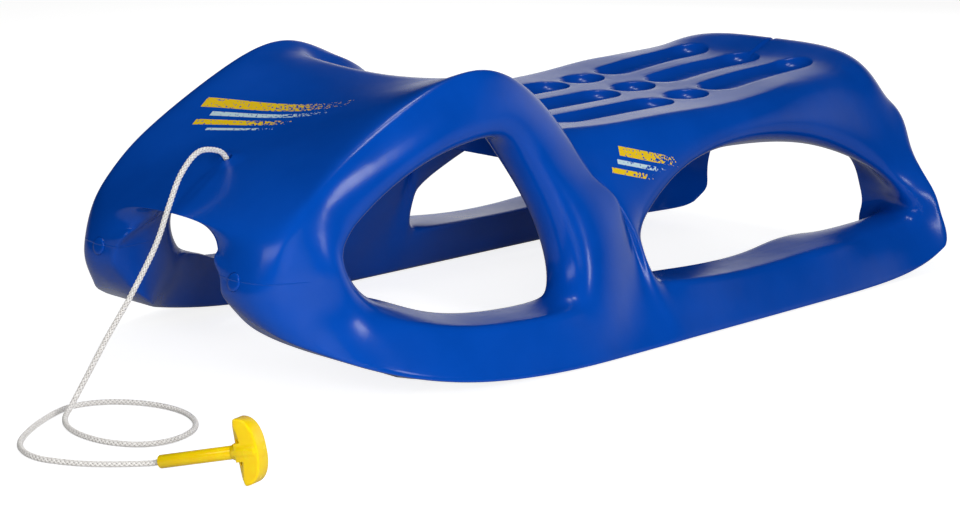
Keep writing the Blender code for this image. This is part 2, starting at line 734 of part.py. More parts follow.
def rope_tunnel(body, cutters):
    """The bore that the rope runs through in the hood. Gives its mouth, its way down and its length."""
    above = Vector((0, TUNNEL_Y_SHARE * LENGTH, HEIGHT * 2))
    mouth = skins_met(body, above, Vector((0, 0, -1)))[0]
    down = Vector((0, math.sin(TUNNEL_LEAN), -math.cos(TUNNEL_LEAN)))
    under = skins_met(body, mouth - down * OVERRUN, down)[1]
    bore = TUNNEL_DIAMETER / 2
    flare = TUNNEL_MOUTH / 2
    wall = (under - mouth).length
    profile = (
        (0, wall + TUNNEL_OVERRUN),
        (bore, wall + TUNNEL_OVERRUN),
        (bore, TUNNEL_MOUTH_DEPTH),
        ((bore * 2 + flare) / 3, TUNNEL_MOUTH_DEPTH / 3),
        (flare, 0),
        (flare + TUNNEL_MOUTH_DEPTH, -TUNNEL_MOUTH_DEPTH),
        (0, -TUNNEL_MOUTH_DEPTH),
    )
    tunnel = turned("rope_tunnel_cutter", profile, cutters)
    tunnel.matrix_world = looking_along(down, mouth)
    cut(body, hide_cutter(tunnel))
    return mouth, down, wall


def knot(name, start, direction, parts, material):
    """A tight stopper knot from its start along the direction, as a lump with the ridges of its strands."""
    bm = bmesh.new()
    bmesh.ops.create_uvsphere(bm, u_segments=18, v_segments=12, radius=1)
    for vert in bm.verts:
        around = math.atan2(vert.co.y, vert.co.x)
        wave = math.cos(KNOT_STRANDS * around + math.pi * vert.co.z)
        swell = 1 - KNOT_RELIEF_SHARE * (1 - wave) / 2 * (1 - vert.co.z**2)
        vert.co.x *= swell * KNOT_DIAMETER / 2
        vert.co.y *= swell * KNOT_DIAMETER / 2
        vert.co.z *= KNOT_LENGTH / 2
    item = link_object(name, mesh_from(bm, name), parts, material)
    item.data.shade_smooth()
    item.matrix_world = looking_along(direction, start + direction * KNOT_LENGTH / 2)


def least_gap(points):
    """How near the rope comes to itself, between places more than three steps apart along it."""
    apart = [
        (first - second).length
        for i, first in enumerate(points)
        for second in points[i + ROPE_NEIGHBOURS :]
    ]
    return min(apart) - ROPE_DIAMETER


def tow_rope(tunnel, parts, material):
    """The rope from the knot under the hood, over the snow with one loose turn, to the knot in the handle."""
    mouth, down, wall = tunnel
    under = mouth + down * (wall - KNOT_SEATING)
    hub_back = SLEEVE_END + SLEEVE_DIRECTION * (SLEEVE_LENGTH + FIT_GAP + HUB_DEPTH - KNOT_SEATING)
    straight = SLEEVE_END - SLEEVE_DIRECTION * SLEEVE_TRAVEL
    route = [under, mouth, *[Vector(point) for point in ROPE_ROUTE], straight, SLEEVE_END]
    points, length = smooth_route(route, ROPE_STEP)
    tube("tow_rope", [*points, hub_back], ROPE_DIAMETER, parts, material)
    knot("hood_knot", under + down * FIT_GAP, down, parts, material)
    knot("handle_knot", hub_back + SLEEVE_DIRECTION * FIT_GAP, SLEEVE_DIRECTION, parts, material)
    length += (hub_back - SLEEVE_END).length
    print(f"rope length {length:.3f} m, least gap to itself {least_gap(points) / MM:.1f} mm")


def handle_sleeve(parts, material):
    """The plain tube of the handle, which slides on the rope."""
    outer = SLEEVE_DIAMETER / 2
    bore = SLEEVE_BORE / 2
    profile = (
        (bore, SLEEVE_LENGTH),
        (outer - SLEEVE_ROUNDING, SLEEVE_LENGTH),
        (outer, SLEEVE_LENGTH - SLEEVE_ROUNDING),
        (outer, SLEEVE_ROUNDING),
        (outer - SLEEVE_ROUNDING, 0),
        (bore, 0),
        (bore, SLEEVE_LENGTH),
    )
    sleeve = turned("handle_sleeve", profile, parts, material)
    sleeve.matrix_world = looking_along(SLEEVE_DIRECTION, SLEEVE_END)


def half_moon(wall):
    """The crossbar's outline, drawn in by a wall: a full, rounded outer edge from tip to tip."""
    points = []
    for i in range(BAR_STEPS + 1):
        angle = math.pi * i / BAR_STEPS
        x = math.copysign(abs(math.cos(angle)) ** (2 / BAR_FULLNESS), math.cos(angle))
        z = abs(math.sin(angle)) ** (2 / BAR_FULLNESS)
        reach = BAR_DEPTH - wall - BAR_TIP_SET_BACK
        points.append((x * (BAR_LENGTH / 2 - wall), BAR_TIP_SET_BACK + z * reach))
    return points


def plate(name, outline, thickness, collection, material=None):
    """A flat outline in X and Z, thick along Y."""
    bm = bmesh.new()
    front = [bm.verts.new((x, -thickness / 2, z)) for x, z in outline]
    face = bm.faces.new(front)
    grown = bmesh.ops.extrude_face_region(bm, geom=[face])
    back = [item for item in grown["geom"] if isinstance(item, bmesh.types.BMVert)]
    bmesh.ops.translate(bm, vec=(0, thickness, 0), verts=back)
    return link_object(name, mesh_from(bm, name), collection, material)


def handle_crossbar(parts, cutters, material):
    """A half-moon grip, hollow from its inner side, with a hub in the middle that the rope runs through."""
    seat = SLEEVE_END + SLEEVE_DIRECTION * (SLEEVE_LENGTH + FIT_GAP)
    pose = looking_along(SLEEVE_DIRECTION, seat, math.radians(90) + BAR_ROLL)
    half_hub = HUB_WIDTH / 2
    outline = [(half_hub, 0), *half_moon(0), (-half_hub, 0)]
    bar = plate("handle_crossbar", outline, BAR_THICKNESS, parts, material)
    bar.matrix_world = pose
    rounding = bar.modifiers.new("rounding", "BEVEL")
    rounding.width = BAR_ROUNDING
    rounding.segments = 3
    rounding.limit_method = "ANGLE"
    rounding.angle_limit = math.radians(50)
    inner = half_moon(BAR_WALL)
    outline = [
        (half_hub, -OVERRUN),
        (inner[0][0], -OVERRUN),
        *inner,
        (inner[-1][0], -OVERRUN),
        (-half_hub, -OVERRUN),
        (-half_hub, HUB_DEPTH),
        (half_hub, HUB_DEPTH),
    ]
    hollow = plate("crossbar_hollow_cutter", outline, BAR_THICKNESS - 2 * BAR_WALL, cutters)
    hollow.matrix_world = pose
    cut(bar, hide_cutter(hollow))
    bore = SLEEVE_BORE / 2
    hole_profile = ((0, HUB_DEPTH + OVERRUN), (bore, HUB_DEPTH + OVERRUN), (bore, -OVERRUN), (0, -OVERRUN))
    hole = turned("crossbar_bore_cutter", hole_profile, cutters)
    hole.matrix_world = pose
    cut(bar, hide_cutter(hole))


def shade_round(parts):
    """Smooth shading, with the crisp edges of small pieces kept."""
    for item in parts.objects:
        if item.type == "MESH":
            item.data.shade_smooth()
            if item.name != "body_shell":
                item.data.set_sharp_from_angle(angle=math.radians(40))


def main():
    """Builds the sled piece by piece, and reads places off the body before its seat and feet are cut."""
    clear_scene()
    parts = bpy.data.collections.new("snow_sled")
    cutters = bpy.data.collections.new("cutters")
    for collection in (parts, cutters):
        bpy.context.scene.collection.children.link(collection)
    blue = plain_material("moulded polyethylene", (0.003, 0.09, 0.42), 0.22)
    steel = plain_material("galvanised steel", (0.55, 0.56, 0.58), 0.35, 1.0)
    zinc = plain_material("zinc-plated screw", (0.62, 0.62, 0.6), 0.3, 1.0)
    braid = plain_material("braided polypropylene", (0.78, 0.77, 0.74), 0.8)
    yellow = plain_material("yellow moulded plastic", (1.0, 0.62, 0.01), 0.3)
    body = moulded_body(parts, blue)
    tunnel = rope_tunnel(body, cutters)
    nose_plugs(body, parts, cutters, blue)
    seat_recesses(body, cutters)
    runner_strips(body, parts, cutters, steel, zinc)
    tow_rope(tunnel, parts, braid)
    handle_sleeve(parts, yellow)
    handle_crossbar(parts, cutters, yellow)
    shade_round(parts)


main()
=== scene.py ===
"""Dresses the packed snow sled: its moulded body, braided rope, T-handle, studio and camera."""

import json
import math

import bmesh
import bpy
from mathutils import Matrix, Vector
from mathutils.bvhtree import BVHTree
from mathutils.geometry import delaunay_2d_cdt

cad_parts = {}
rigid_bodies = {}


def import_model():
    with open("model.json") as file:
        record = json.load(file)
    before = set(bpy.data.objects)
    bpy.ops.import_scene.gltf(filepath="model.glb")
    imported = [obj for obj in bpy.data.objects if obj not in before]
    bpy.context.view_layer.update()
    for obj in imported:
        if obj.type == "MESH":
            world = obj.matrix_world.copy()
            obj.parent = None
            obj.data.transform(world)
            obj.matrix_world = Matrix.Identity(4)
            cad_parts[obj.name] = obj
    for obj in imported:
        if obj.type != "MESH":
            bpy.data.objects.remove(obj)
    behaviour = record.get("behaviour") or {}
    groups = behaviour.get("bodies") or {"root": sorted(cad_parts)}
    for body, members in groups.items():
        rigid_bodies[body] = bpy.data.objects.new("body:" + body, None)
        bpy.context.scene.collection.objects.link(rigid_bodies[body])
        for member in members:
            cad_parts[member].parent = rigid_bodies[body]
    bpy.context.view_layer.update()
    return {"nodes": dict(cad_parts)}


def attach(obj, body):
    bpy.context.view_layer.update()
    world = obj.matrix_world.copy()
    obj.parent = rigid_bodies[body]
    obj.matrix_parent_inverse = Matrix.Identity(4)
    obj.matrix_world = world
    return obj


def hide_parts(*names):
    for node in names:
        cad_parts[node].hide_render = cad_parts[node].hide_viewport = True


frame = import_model()

MM = 0.001
WELD = 0.01 * MM
FIT_GAP = 0.3 * MM
OVERRUN = 3 * MM

# The camera, fitted to the photograph
CAMERA_PLACE = Vector((1.5772, -1.5918, 0.5655))
CAMERA_AIM = Vector((-0.6947, 0.6826, -0.2272))
CAMERA_LENS = 89.29
SENSOR_WIDTH = 36
CAMERA_NEAR = 0.05

# The moulding, as shares of these four sizes. Each station has the rows y, x and z of the outer
# skin, y, x and z of the lining, and the wall at the sides
LENGTH = 822 * MM
HALF_WIDTH = 220.8 * MM
HEIGHT = 258 * MM
WALL = 48 * MM
STATION_SHARES = (
    # Nose
    (
        (-0.495, -0.49, -0.492, -0.496, -0.501, -0.503, -0.492),
        (0.0, 0.308, 0.454, 0.512, 0.527, 0.524, 0.512),
        (0.581, 0.566, 0.531, 0.469, 0.411, 0.345, 0.26),
        (-0.486, -0.486, -0.486, -0.494, -0.501, -0.503, -0.489),
        (0.0, 0.145, 0.226),
        (0.581, 0.562, 0.516, 0.481, 0.419, 0.357, 0.298),
        (1.104, 0.958, 0.854, 0.667),
    ),
    # Behind the nose
    (
        (-0.45, -0.446, -0.452, -0.46, -0.465, -0.463, -0.455),
        (0.0, 0.452, 0.578, 0.612, 0.632, 0.65, 0.688),
        (0.671, 0.663, 0.632, 0.562, 0.446, 0.302, 0.186),
        (-0.445, -0.445, -0.448, -0.453, -0.461, -0.461, -0.453),
        (0.0, 0.163, 0.263),
        (0.581, 0.566, 0.535, 0.504, 0.446, 0.302, 0.186),
        (1.5, 1.458, 1.458, 1.5),
    ),
    # Front end of the front window
    (
        (-0.4, -0.394, -0.397, -0.397, -0.416, -0.388, -0.397),
        (0.0, 0.471, 0.607, 0.643, 0.675, 0.738, 0.851),
        (0.744, 0.775, 0.74, 0.562, 0.438, 0.276, 0.105),
        (-0.394, -0.394, -0.397, -0.392, -0.406, -0.38, -0.397),
        (0.0, 0.208, 0.353),
        (0.636, 0.636, 0.605, 0.558, 0.438, 0.31, 0.105),
        (1.083, 1.083, 1.125, 1.292),
    ),
    # Hood
    (
        (-0.303, -0.297, -0.301, -0.303, -0.309, -0.303, -0.309),
        (0.0, 0.489, 0.611, 0.657, 0.77, 0.842, 0.947),
        (0.853, 0.926, 0.884, 0.736, 0.465, 0.206, 0.035),
        (-0.303, -0.303, -0.303, -0.303, -0.309, -0.303, -0.309),
        (0.0, 0.281, 0.408),
        (0.721, 0.736, 0.713, 0.682, 0.465, 0.226, 0.035),
        (1.0, 1.042, 1.042, 1.25),
    ),
    # Rear rim of the hood
    (
        (-0.207, -0.205, -0.202, -0.202, -0.2, -0.212, -0.212),
        (0.0, 0.485, 0.607, 0.657, 0.761, 0.883, 0.983),
        (0.931, 0.96, 0.984, 0.787, 0.504, 0.182, 0.006),
        (-0.207, -0.207, -0.205, -0.202, -0.2, -0.212, -0.212),
        (0.0, 0.317, 0.417),
        (0.806, 0.826, 0.853, 0.787, 0.504, 0.187, 0.006),
        (0.917, 1.0, 1.0, 1.25),
    ),
    # Arch beside the leg opening
    (
        (-0.139, -0.129, -0.127, -0.149, -0.114, -0.129, -0.139),
        (0.0, 0.503, 0.62, 0.67, 0.77, 0.883, 1.0),
        (0.814, 0.905, 0.86, 0.69, 0.45, 0.194, 0.005),
        (-0.139, -0.132, -0.132, -0.151, -0.118, -0.127, -0.136),
        (0.0, 0.389, 0.444),
        (0.705, 0.818, 0.764, 0.69, 0.45, 0.188, 0.005),
        (1.0, 1.042, 1.042, 1.25),
    ),
    # Front of the seat, proud edge of the arch
    (
        (-0.073, -0.073, -0.08, -0.061, -0.037, -0.059, -0.073),
        (0.0, 0.512, 0.639, 0.702, 0.774, 0.883, 1.0),
        (0.709, 0.756, 0.705, 0.574, 0.438, 0.174, 0.005),
        (-0.066, -0.066, -0.068, -0.061, -0.037, -0.059, -0.073),
        (0.0, 0.317, 0.43),
        (0.601, 0.609, 0.589, 0.558, 0.438, 0.174, 0.005),
        (1.125, 1.125, 1.042, 1.25),
    ),
    # Front of the seat, panel behind the arch
    (
        (-0.061, -0.061, -0.069, -0.05, -0.027, -0.022, -0.017),
        (0.0, 0.512, 0.602, 0.67, 0.743, 0.883, 1.0),
        (0.713, 0.736, 0.686, 0.566, 0.43, 0.174, 0.005),
        (-0.054, -0.054, -0.056, -0.05, -0.027, -0.022, -0.017),
        (0.0, 0.317, 0.43),
        (0.601, 0.609, 0.589, 0.558, 0.43, 0.174, 0.005),
        (0.958, 0.958, 1.042, 1.25),
    ),
    # Front end of the rear window
    (
        (0.01, 0.01, 0.01, 0.01, -0.01, 0.005, 0.019),
        (0.0, 0.525, 0.616, 0.743, 0.806, 0.865, 1.0),
        (0.721, 0.729, 0.682, 0.422, 0.31, 0.194, 0.005),
        (0.01, 0.01, 0.01, 0.01, -0.01, 0.005, 0.019),
        (0.0, 0.326, 0.444),
        (0.597, 0.605, 0.581, 0.422, 0.31, 0.182, 0.005),
        (1.0, 1.0, 1.021, 1.25),
    ),
    # Seat
    (
        (0.104, 0.104, 0.104, 0.102, 0.104, 0.104, 0.104),
        (0.0, 0.548, 0.63, 0.684, 0.77, 0.879, 1.0),
        (0.725, 0.733, 0.69, 0.554, 0.388, 0.167, 0.005),
        (0.104, 0.104, 0.104, 0.102, 0.104, 0.104, 0.104),
        (0.0, 0.326, 0.444),
        (0.589, 0.597, 0.589, 0.548, 0.388, 0.169, 0.005),
        (1.0, 1.0, 1.021, 1.25),
    ),
    # Seat at its widest
    (
        (0.226, 0.226, 0.226, 0.219, 0.226, 0.226, 0.226),
        (0.0, 0.58, 0.661, 0.666, 0.77, 0.879, 1.0),
        (0.74, 0.74, 0.698, 0.603, 0.388, 0.165, 0.005),
        (0.226, 0.226, 0.226, 0.219, 0.226, 0.226, 0.226),
        (0.0, 0.326, 0.444),
        (0.589, 0.597, 0.589, 0.544, 0.388, 0.169, 0.005),
        (1.0, 1.0, 1.021, 1.25),
    ),
    # Rear window, seat drawing in
    (
        (0.348, 0.348, 0.348, 0.35, 0.348, 0.348, 0.342),
        (0.0, 0.512, 0.652, 0.693, 0.77, 0.879, 1.0),
        (0.775, 0.775, 0.709, 0.547, 0.388, 0.167, 0.005),
        (0.348, 0.348, 0.348, 0.36, 0.348, 0.348, 0.342),
        (0.0, 0.317, 0.426),
        (0.605, 0.605, 0.574, 0.523, 0.388, 0.178, 0.005),
        (1.0, 1.0, 1.021, 1.25),
    ),
    # Rear end of the rear window
    (
        (0.439, 0.435, 0.435, 0.442, 0.465, 0.456, 0.435),
        (0.0, 0.444, 0.657, 0.77, 0.833, 0.874, 0.996),
        (0.791, 0.798, 0.694, 0.403, 0.287, 0.19, 0.017),
        (0.435, 0.435, 0.435, 0.478, 0.4915, 0.4866, 0.45),
        (0.0, 0.272, 0.38),
        (0.605, 0.589, 0.535, 0.403, 0.287, 0.198, 0.017),
        (1.0, 1.021, 1.042, 1.417),
    ),
    # Tail
    (
        (0.49, 0.489, 0.49, 0.495, 0.497, 0.496, 0.491),
        (0.0, 0.371, 0.62, 0.77, 0.906, 0.96, 1.001),
        (0.826, 0.802, 0.667, 0.481, 0.322, 0.221, 0.109),
        (0.486, 0.486, 0.486, 0.502, 0.507, 0.507, 0.5),
        (0.0, 0.181, 0.272),
        (0.55, 0.527, 0.481, 0.403, 0.279, 0.186, 0.109),
        (1.667, 1.98, 2.15, 2.25),
    ),
)
FOOT_ROW = 6
SHOULDER_ROW = 2
SIDE_ROWS = (3, 4, 5, 6)
WINDOW_ROWS = (3, 4)
FRONT_WINDOW_STATIONS = (2, 5)
REAR_WINDOW_STATIONS = (8, 12)
LEG_STATIONS = (4, 6)
ARCH_STATION = 6
SEAT_STATIONS = (6, 11)
FOOT_CREASE = 0.7
ARCH_CREASE = 0.9
SEAT_CREASE = 0.75
TAIL_CREASE = 0.5
SILL_CREASE = 0.8
NOSE_CREASE = 0.5
LEG_CREASE = 0.6
PANEL_CREASE = 0.9
SETTLING_PASSES = 7
SETTLING_GAIN = 0.6
SETTLING_LEVELS = 2
FINE_LEVELS = 4
SHARP_ANGLE = math.radians(38)

# Recesses in the seat: the ends of the three in each column as shares of the length, and how deep
# they lie in millimetres at each distance in from their outline
RECESS_WIDTH = 45 * MM
COLUMN_SPACING = 69.5 * MM
RECESS_END_SHARES = ((-0.027, 0.174), (0.1822, 0.237), (0.2455, 0.436))
RECESS_PROFILE = (
    (-1.6, 0.0),
    (-0.9, 0.15),
    (-0.3, 0.55),
    (0.3, 1.3),
    (1.0, 2.4),
    (2.0, 3.8),
    (3.3, 5.3),
    (5.0, 6.7),
    (7.2, 7.9),
    (10.0, 8.7),
    (13.5, 9.0),
)
RECESS_BAND = 4.2 * MM
RECESS_FLOOR = 15 * MM
RECESS_ARC_STEPS = 26
SEAT_LEAST_RISE = 0.3
TRIANGULATION_TOLERANCE = 1e-4
RECESS_SIDE_STEP = 4 * MM

DRAIN_RADIUS = 4.5 * MM
DRAIN_Y_SHARES = (0.42, 0.488)
DRAIN_STEPS = 12
DRAIN_LIFT = 0.9 * MM
DRAIN_FALL = Vector((0, 12, -9)) * MM

# The runner strips
STRIP_WIDTH = 20 * MM
STRIP_THICKNESS = 2 * MM
STRIP_INSET = 44.8 * MM
STRIP_X = HALF_WIDTH - STRIP_INSET
GROOVE_REACH = 12 * MM
STRIP_PROFILE_SHARES = (
    (-0.39, 0.0953),
    (-0.37, 0.0771),
    (-0.346, 0.059),
    (-0.309, 0.0368),
    (-0.273, 0.0217),
    (-0.236, 0.0106),
    (-0.2, 0.0039),
    (-0.163, 0.0007),
    (-0.127, 0.0),
    (0.245, 0.0),
    (0.275, 0.0003),
    (0.311, 0.0007),
    (0.348, 0.0027),
    (0.384, 0.0072),
    (0.421, 0.0184),
    (0.445, 0.0327),
)

# The plugs in the noses
PLUG_DIAMETER = 15.5 * MM
PLUG_DEPTH = 9 * MM
PLUG_CROWN = 1.2 * MM
PLUG_MIDDLE_SHARE = 1.02
PLUG_SHARP_ANGLE = math.radians(50)
PLUG_RIM_SHARES = ((0.6, 1.02), (0.8, 0.95), (0.92, 0.7), (0.98, 0.35), (1.0, 0.0))
PLUG_X_SHARE = 0.422
PLUG_Z_SHARE = 0.407

# The rope, its tunnel through the hood and its knots
ROPE_STEP = 2.5 * MM
ROUTE_FINENESS = 6
TUNNEL_DIAMETER = 8 * MM
TUNNEL_MOUTH = 12 * MM
TUNNEL_MOUTH_DEPTH = 4 * MM
TUNNEL_Y_SHARE = -0.42
TUNNEL_LEAN = math.radians(25)
TUNNEL_OVERRUN = 10 * MM
BOSS_RADIUS = 15 * MM
BOSS_RISE = 2 * MM
BOSS_STEEPNESS = 1.8
KNOT_DIAMETER = 11.4 * MM
KNOT_LENGTH = 12 * MM
KNOT_SEATING = 0.8 * MM
KNOT_STRANDS = 3
KNOT_RELIEF_SHARE = 0.2
KNOT_YARNS = 9
KNOT_YARN_TWIST = 14
KNOT_YARN_RELIEF_SHARE = 0.02
ROPE_ROUTE = (
    (0.001, -0.356, 0.1940),
    (0.004, -0.379, 0.1960),
    (0.007, -0.400, 0.1800),
    (0.009, -0.415, 0.1550),
    (0.012, -0.432, 0.1250),
    (0.016, -0.461, 0.0890),
    (0.019, -0.489, 0.0580),
    (0.022, -0.509, 0.0350),
    (0.026, -0.530, 0.0120),
    (0.039, -0.547, 0.0042),
    (0.068, -0.557, 0.0029),
    (0.103, -0.555, 0.0029),
    (0.129, -0.540, 0.0029),
    (0.138, -0.516, 0.0029),
    (0.129, -0.488, 0.0029),
    (0.106, -0.469, 0.0029),
    (0.075, -0.462, 0.0029),
    (0.042, -0.470, 0.0029),
    (0.016, -0.491, 0.0029),
    (0.007, -0.520, 0.0029),
    (0.022, -0.556, 0.0029),
    (0.048, -0.592, 0.0029),
    (0.072, -0.611, 0.0029),
    (0.101, -0.616, 0.0029),
    (0.131, -0.604, 0.0030),
    (0.155, -0.588, 0.0038),
)

# The braid, whose sizes are the inputs of its tree
BRAID_SIZES = {
    "Step": 0.6 * MM,
    "Pitch": 15 * MM,
    "Middle Radius": 1.8 * MM,
    "Weave": 0.28 * MM,
    "Strand Thickness": 0.42 * MM,
    "Strand Width": 1.0 * MM,
    "Core Radius": 1.3 * MM,
}
BRAID_STRANDS = 8
STRAND_SIDES = 6
CORE_SIDES = 10
BRAID_SEED = 7

# The T-handle
SLEEVE_DIAMETER = 10.4 * MM
SLEEVE_BORE = 6.6 * MM
SLEEVE_LENGTH = 66 * MM
SLEEVE_ROUNDING = 0.5 * MM
SLEEVE_TRAVEL = 12 * MM
SLEEVE_END = Vector((0.1887, -0.5645, 0.0083))
SLEEVE_DIRECTION = Vector((0.896, 0.352, 0.240)).normalized()
BAR_LENGTH = 51 * MM
BAR_DEPTH = 24 * MM
BAR_THICKNESS = 17 * MM
BAR_WALL = 2.2 * MM
BAR_ROUNDING = 4.5 * MM
BAR_FULLNESS = 2.4
BAR_BROKEN_EDGE = 0.45 * MM
BAR_TIP_SET_BACK = 7.5 * MM
BAR_STEPS = 48
HUB_WIDTH = 14 * MM
HUB_DEPTH = 5 * MM
HUB_RIM = 4 * MM
HUB_FLARE = 7 * MM
HUB_FOOT_RADIUS = 6.2 * MM
HUB_HEIGHT = BAR_DEPTH * 0.995
WING_THICKNESS = 15.2 * MM
FACET_AT_HUB = (-2 * MM, 16 * MM)
FACET_AT_TIP = (1 * MM, 11.8 * MM)
POCKET_RADIUS = 2 * MM
POCKET_PLACE = (4.6 * MM, 7.4 * MM)
BAR_ROLL = math.radians(-4)

ROUND_STEPS = 64

# The prints in millimetres: each bar's ink, its middle and half width across, its start and end
PRINT_GRAIN = 2.2
PRINT_SOLID_SHARE = 0.4
HOOD_PRINT_LEAN = math.radians(-20)
HOOD_PRINT_END = -200
HOOD_BARS = (
    ("C6E2EC", -255, 3.0, -176, -56),
    ("C6E2EC", -277, 1.6, -168, -98),
    ("F2CB1D", -240, 6.5, -192, -42),
    ("F2CB1D", -267, 3.6, -186, -84),
)
SIDE_PRINT_LEAN = math.radians(15)
SIDE_PRINT_START = 125
SIDE_BARS = (
    ("F2CB1D", 160, 4.2, -46, 26),
    ("F2CB1D", 141.5, 2.4, -58, -8),
    ("C6E2EC", 150, 2.0, -50, 10),
)
# The moulding's parting line across the noses, in millimetres
PARTING_HEIGHT = 107
PARTING_END = -380

# The studio: the bright wall's two directions, and each lamp's name, azimuth, elevation, distance,
# size, strength, aim and whether reflections show it
WALL_BEHIND = (-0.643, 0.766, 0)
WALL_ACROSS = (-0.766, -0.643, 0)
WORLD_FILL = 0.18
FLOOR_SIZE = 60
LAMPS = (
    ("key", 62, 14, 1.45, (0.6, 0.75), 10, (0.1, -0.25, 0.1), False),
    ("front", 12, 30, 2.0, (1.5, 0.45), 3.2, (0, -0.4, 0.1)),
    ("back fill", 215, 22, 2.2, (1.4, 0.8), 2.2, (0, 0, 0.1), False),
    ("side", 94, 24, 2.0, (0.22, 0.4), 11),
    ("overhead left", -100, 80, 2.1, (0.26, 0.34), 15),
    ("overhead right", 60, 80, 2.1, (0.26, 0.34), 15),
)


def link_object(name, data, material=None):
    """A new object in the scene, with its material."""
    item = bpy.data.objects.new(name, data)
    bpy.context.scene.collection.objects.link(item)
    if material:
        data.materials.append(material)
    return item


def mesh_from(bm, name):
    """The bmesh as mesh data whose faces point out."""
    bmesh.ops.recalc_face_normals(bm, faces=bm.faces)
    mesh = bpy.data.meshes.new(name)
    bm.to_mesh(mesh)
    bm.free()
    return mesh


def made_plain(item, material=None):
    """The object's finished form as a plain mesh at the origin, without modifiers."""
    bpy.context.view_layer.update()
    graph = bpy.context.evaluated_depsgraph_get()
    mesh = bpy.data.meshes.new_from_object(item.evaluated_get(graph))
    mesh.transform(item.matrix_world)
    name = item.name
    bpy.data.objects.remove(item)
    if material:
        mesh.materials.clear()
    return link_object(name, mesh, material)


def shade(item, angle=SHARP_ANGLE):
    """Smooth shading with crisp edges kept."""
    item.data.shade_smooth()
    item.data.set_sharp_from_angle(angle=angle)
    return item


def dress(item, body, slot, *nodes):
    """Says which body the piece rides on and which CAD nodes it stands for; its slot, the finish,
    is not used.
    """
    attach(item, body)
    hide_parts(*nodes)


def looking_along(direction, point, roll=0.0):
    """A matrix whose +Z follows the direction, with its +X as level as the direction allows."""
    turn = direction.to_track_quat("Z", "Y").to_matrix().to_4x4()
    return Matrix.Translation(point) @ turn @ Matrix.Rotation(roll, 4, "Z")


def turned(name, profile):
    """A solid of revolution about its own Z, from (radius, height) points from top to bottom."""
    bm = bmesh.new()
    points = [bm.verts.new((radius, 0, height)) for radius, height in profile]
    for first, second in zip(points, points[1:]):
        bm.edges.new((first, second))
    mesh = bpy.data.meshes.new(name)
    bm.to_mesh(mesh)
    bm.free()
    item = link_object(name, mesh)
    screw = item.modifiers.new("turn", "SCREW")
    screw.steps = screw.render_steps = ROUND_STEPS
    screw.use_merge_vertices = True
    screw.merge_threshold = WELD
    return item


# Materials


def srgb(text):
    """A hex colour as linear RGBA."""
    values = [int(text[i : i + 2], 16) / 255 for i in (0, 2, 4)]
    linear = [v / 12.92 if v <= 0.04045 else ((v + 0.055) / 1.055) ** 2.4 for v in values]
    return (*linear, 1)


def give(tree, entry, value):
    """Links an output, or a node's first live output, to an input, or sets the input's value."""
    if isinstance(value, bpy.types.Node):
        value = next(socket for socket in value.outputs if socket.enabled)
    if isinstance(value, bpy.types.NodeSocket):
        tree.links.new(value, entry)
    else:
        entry.default_value = value


def add(tree, kind, inputs=(), **settings):
    """Adds a node with its settings, and gives its inputs their values or links."""
    node = tree.nodes.new(kind if "Node" in kind else f"ShaderNode{kind}")
    for name, value in settings.items():
        setattr(node, name, value)
    for key, value in inputs.items() if isinstance(inputs, dict) else enumerate(inputs):
        give(tree, node.inputs[key], value)
    return node


def new_material(name):
    """A material with its tree, its shader and its place in millimetres on the object."""
    material = bpy.data.materials.new(name)
    material.use_nodes = True
    tree = material.node_tree
    place = add(tree, "TexCoord").outputs["Object"]
    place = add(tree, "Mapping", {"Vector": place, "Scale": (1000, 1000, 1000)})
    return material, tree, tree.nodes["Principled BSDF"], place


def finish(tree, shader, values, reliefs):
    """Gives the shader its values, and a normal from reliefs of (height, depth in millimetres)."""
    normal = None
    for height, depth in reliefs:
        inputs = {"Height": height, "Strength": 1.0, "Distance": depth * MM}
        if normal:
            inputs["Normal"] = normal
        normal = add(tree, "Bump", inputs)
    for name, value in {**values, "Normal": normal}.items():
        give(tree, shader.inputs[name], value)


def print_bars(tree, place, colour, axes, turn, zone, bars):
    """Prints slanted bars over the colour, each breaking up into speckles towards its tail."""
    speckle = add(tree, "TexNoise", {"Vector": place, "Scale": 1 / PRINT_GRAIN, "Detail": 1})
    turned_place = add(tree, "Mapping", {"Vector": place, "Rotation": turn})
    lines = add(tree, "SeparateXYZ", (turned_place,)).outputs
    along, across = lines[axes[0]], lines[axes[1]]
    for ink, middle, half_width, start, end in bars:
        half_length = (end - start) / 2
        tail = start + (end - start) * PRINT_SOLID_SHARE
        fade = add(tree, "MapRange", (along, tail, end, 0.34, 0.68))
        mask = zone
        for share in (
            add(tree, "Math", (across, middle, half_width), operation="COMPARE"),
            add(tree, "Math", (along, start + half_length, half_length), operation="COMPARE"),
            add(tree, "Math", (speckle, fade), operation="GREATER_THAN"),
        ):
            mask = add(tree, "Math", (mask, share), operation="MULTIPLY")
        colour = add(tree, "Mix", {0: mask, 6: colour, 7: srgb(ink)}, data_type="RGBA")
    return colour


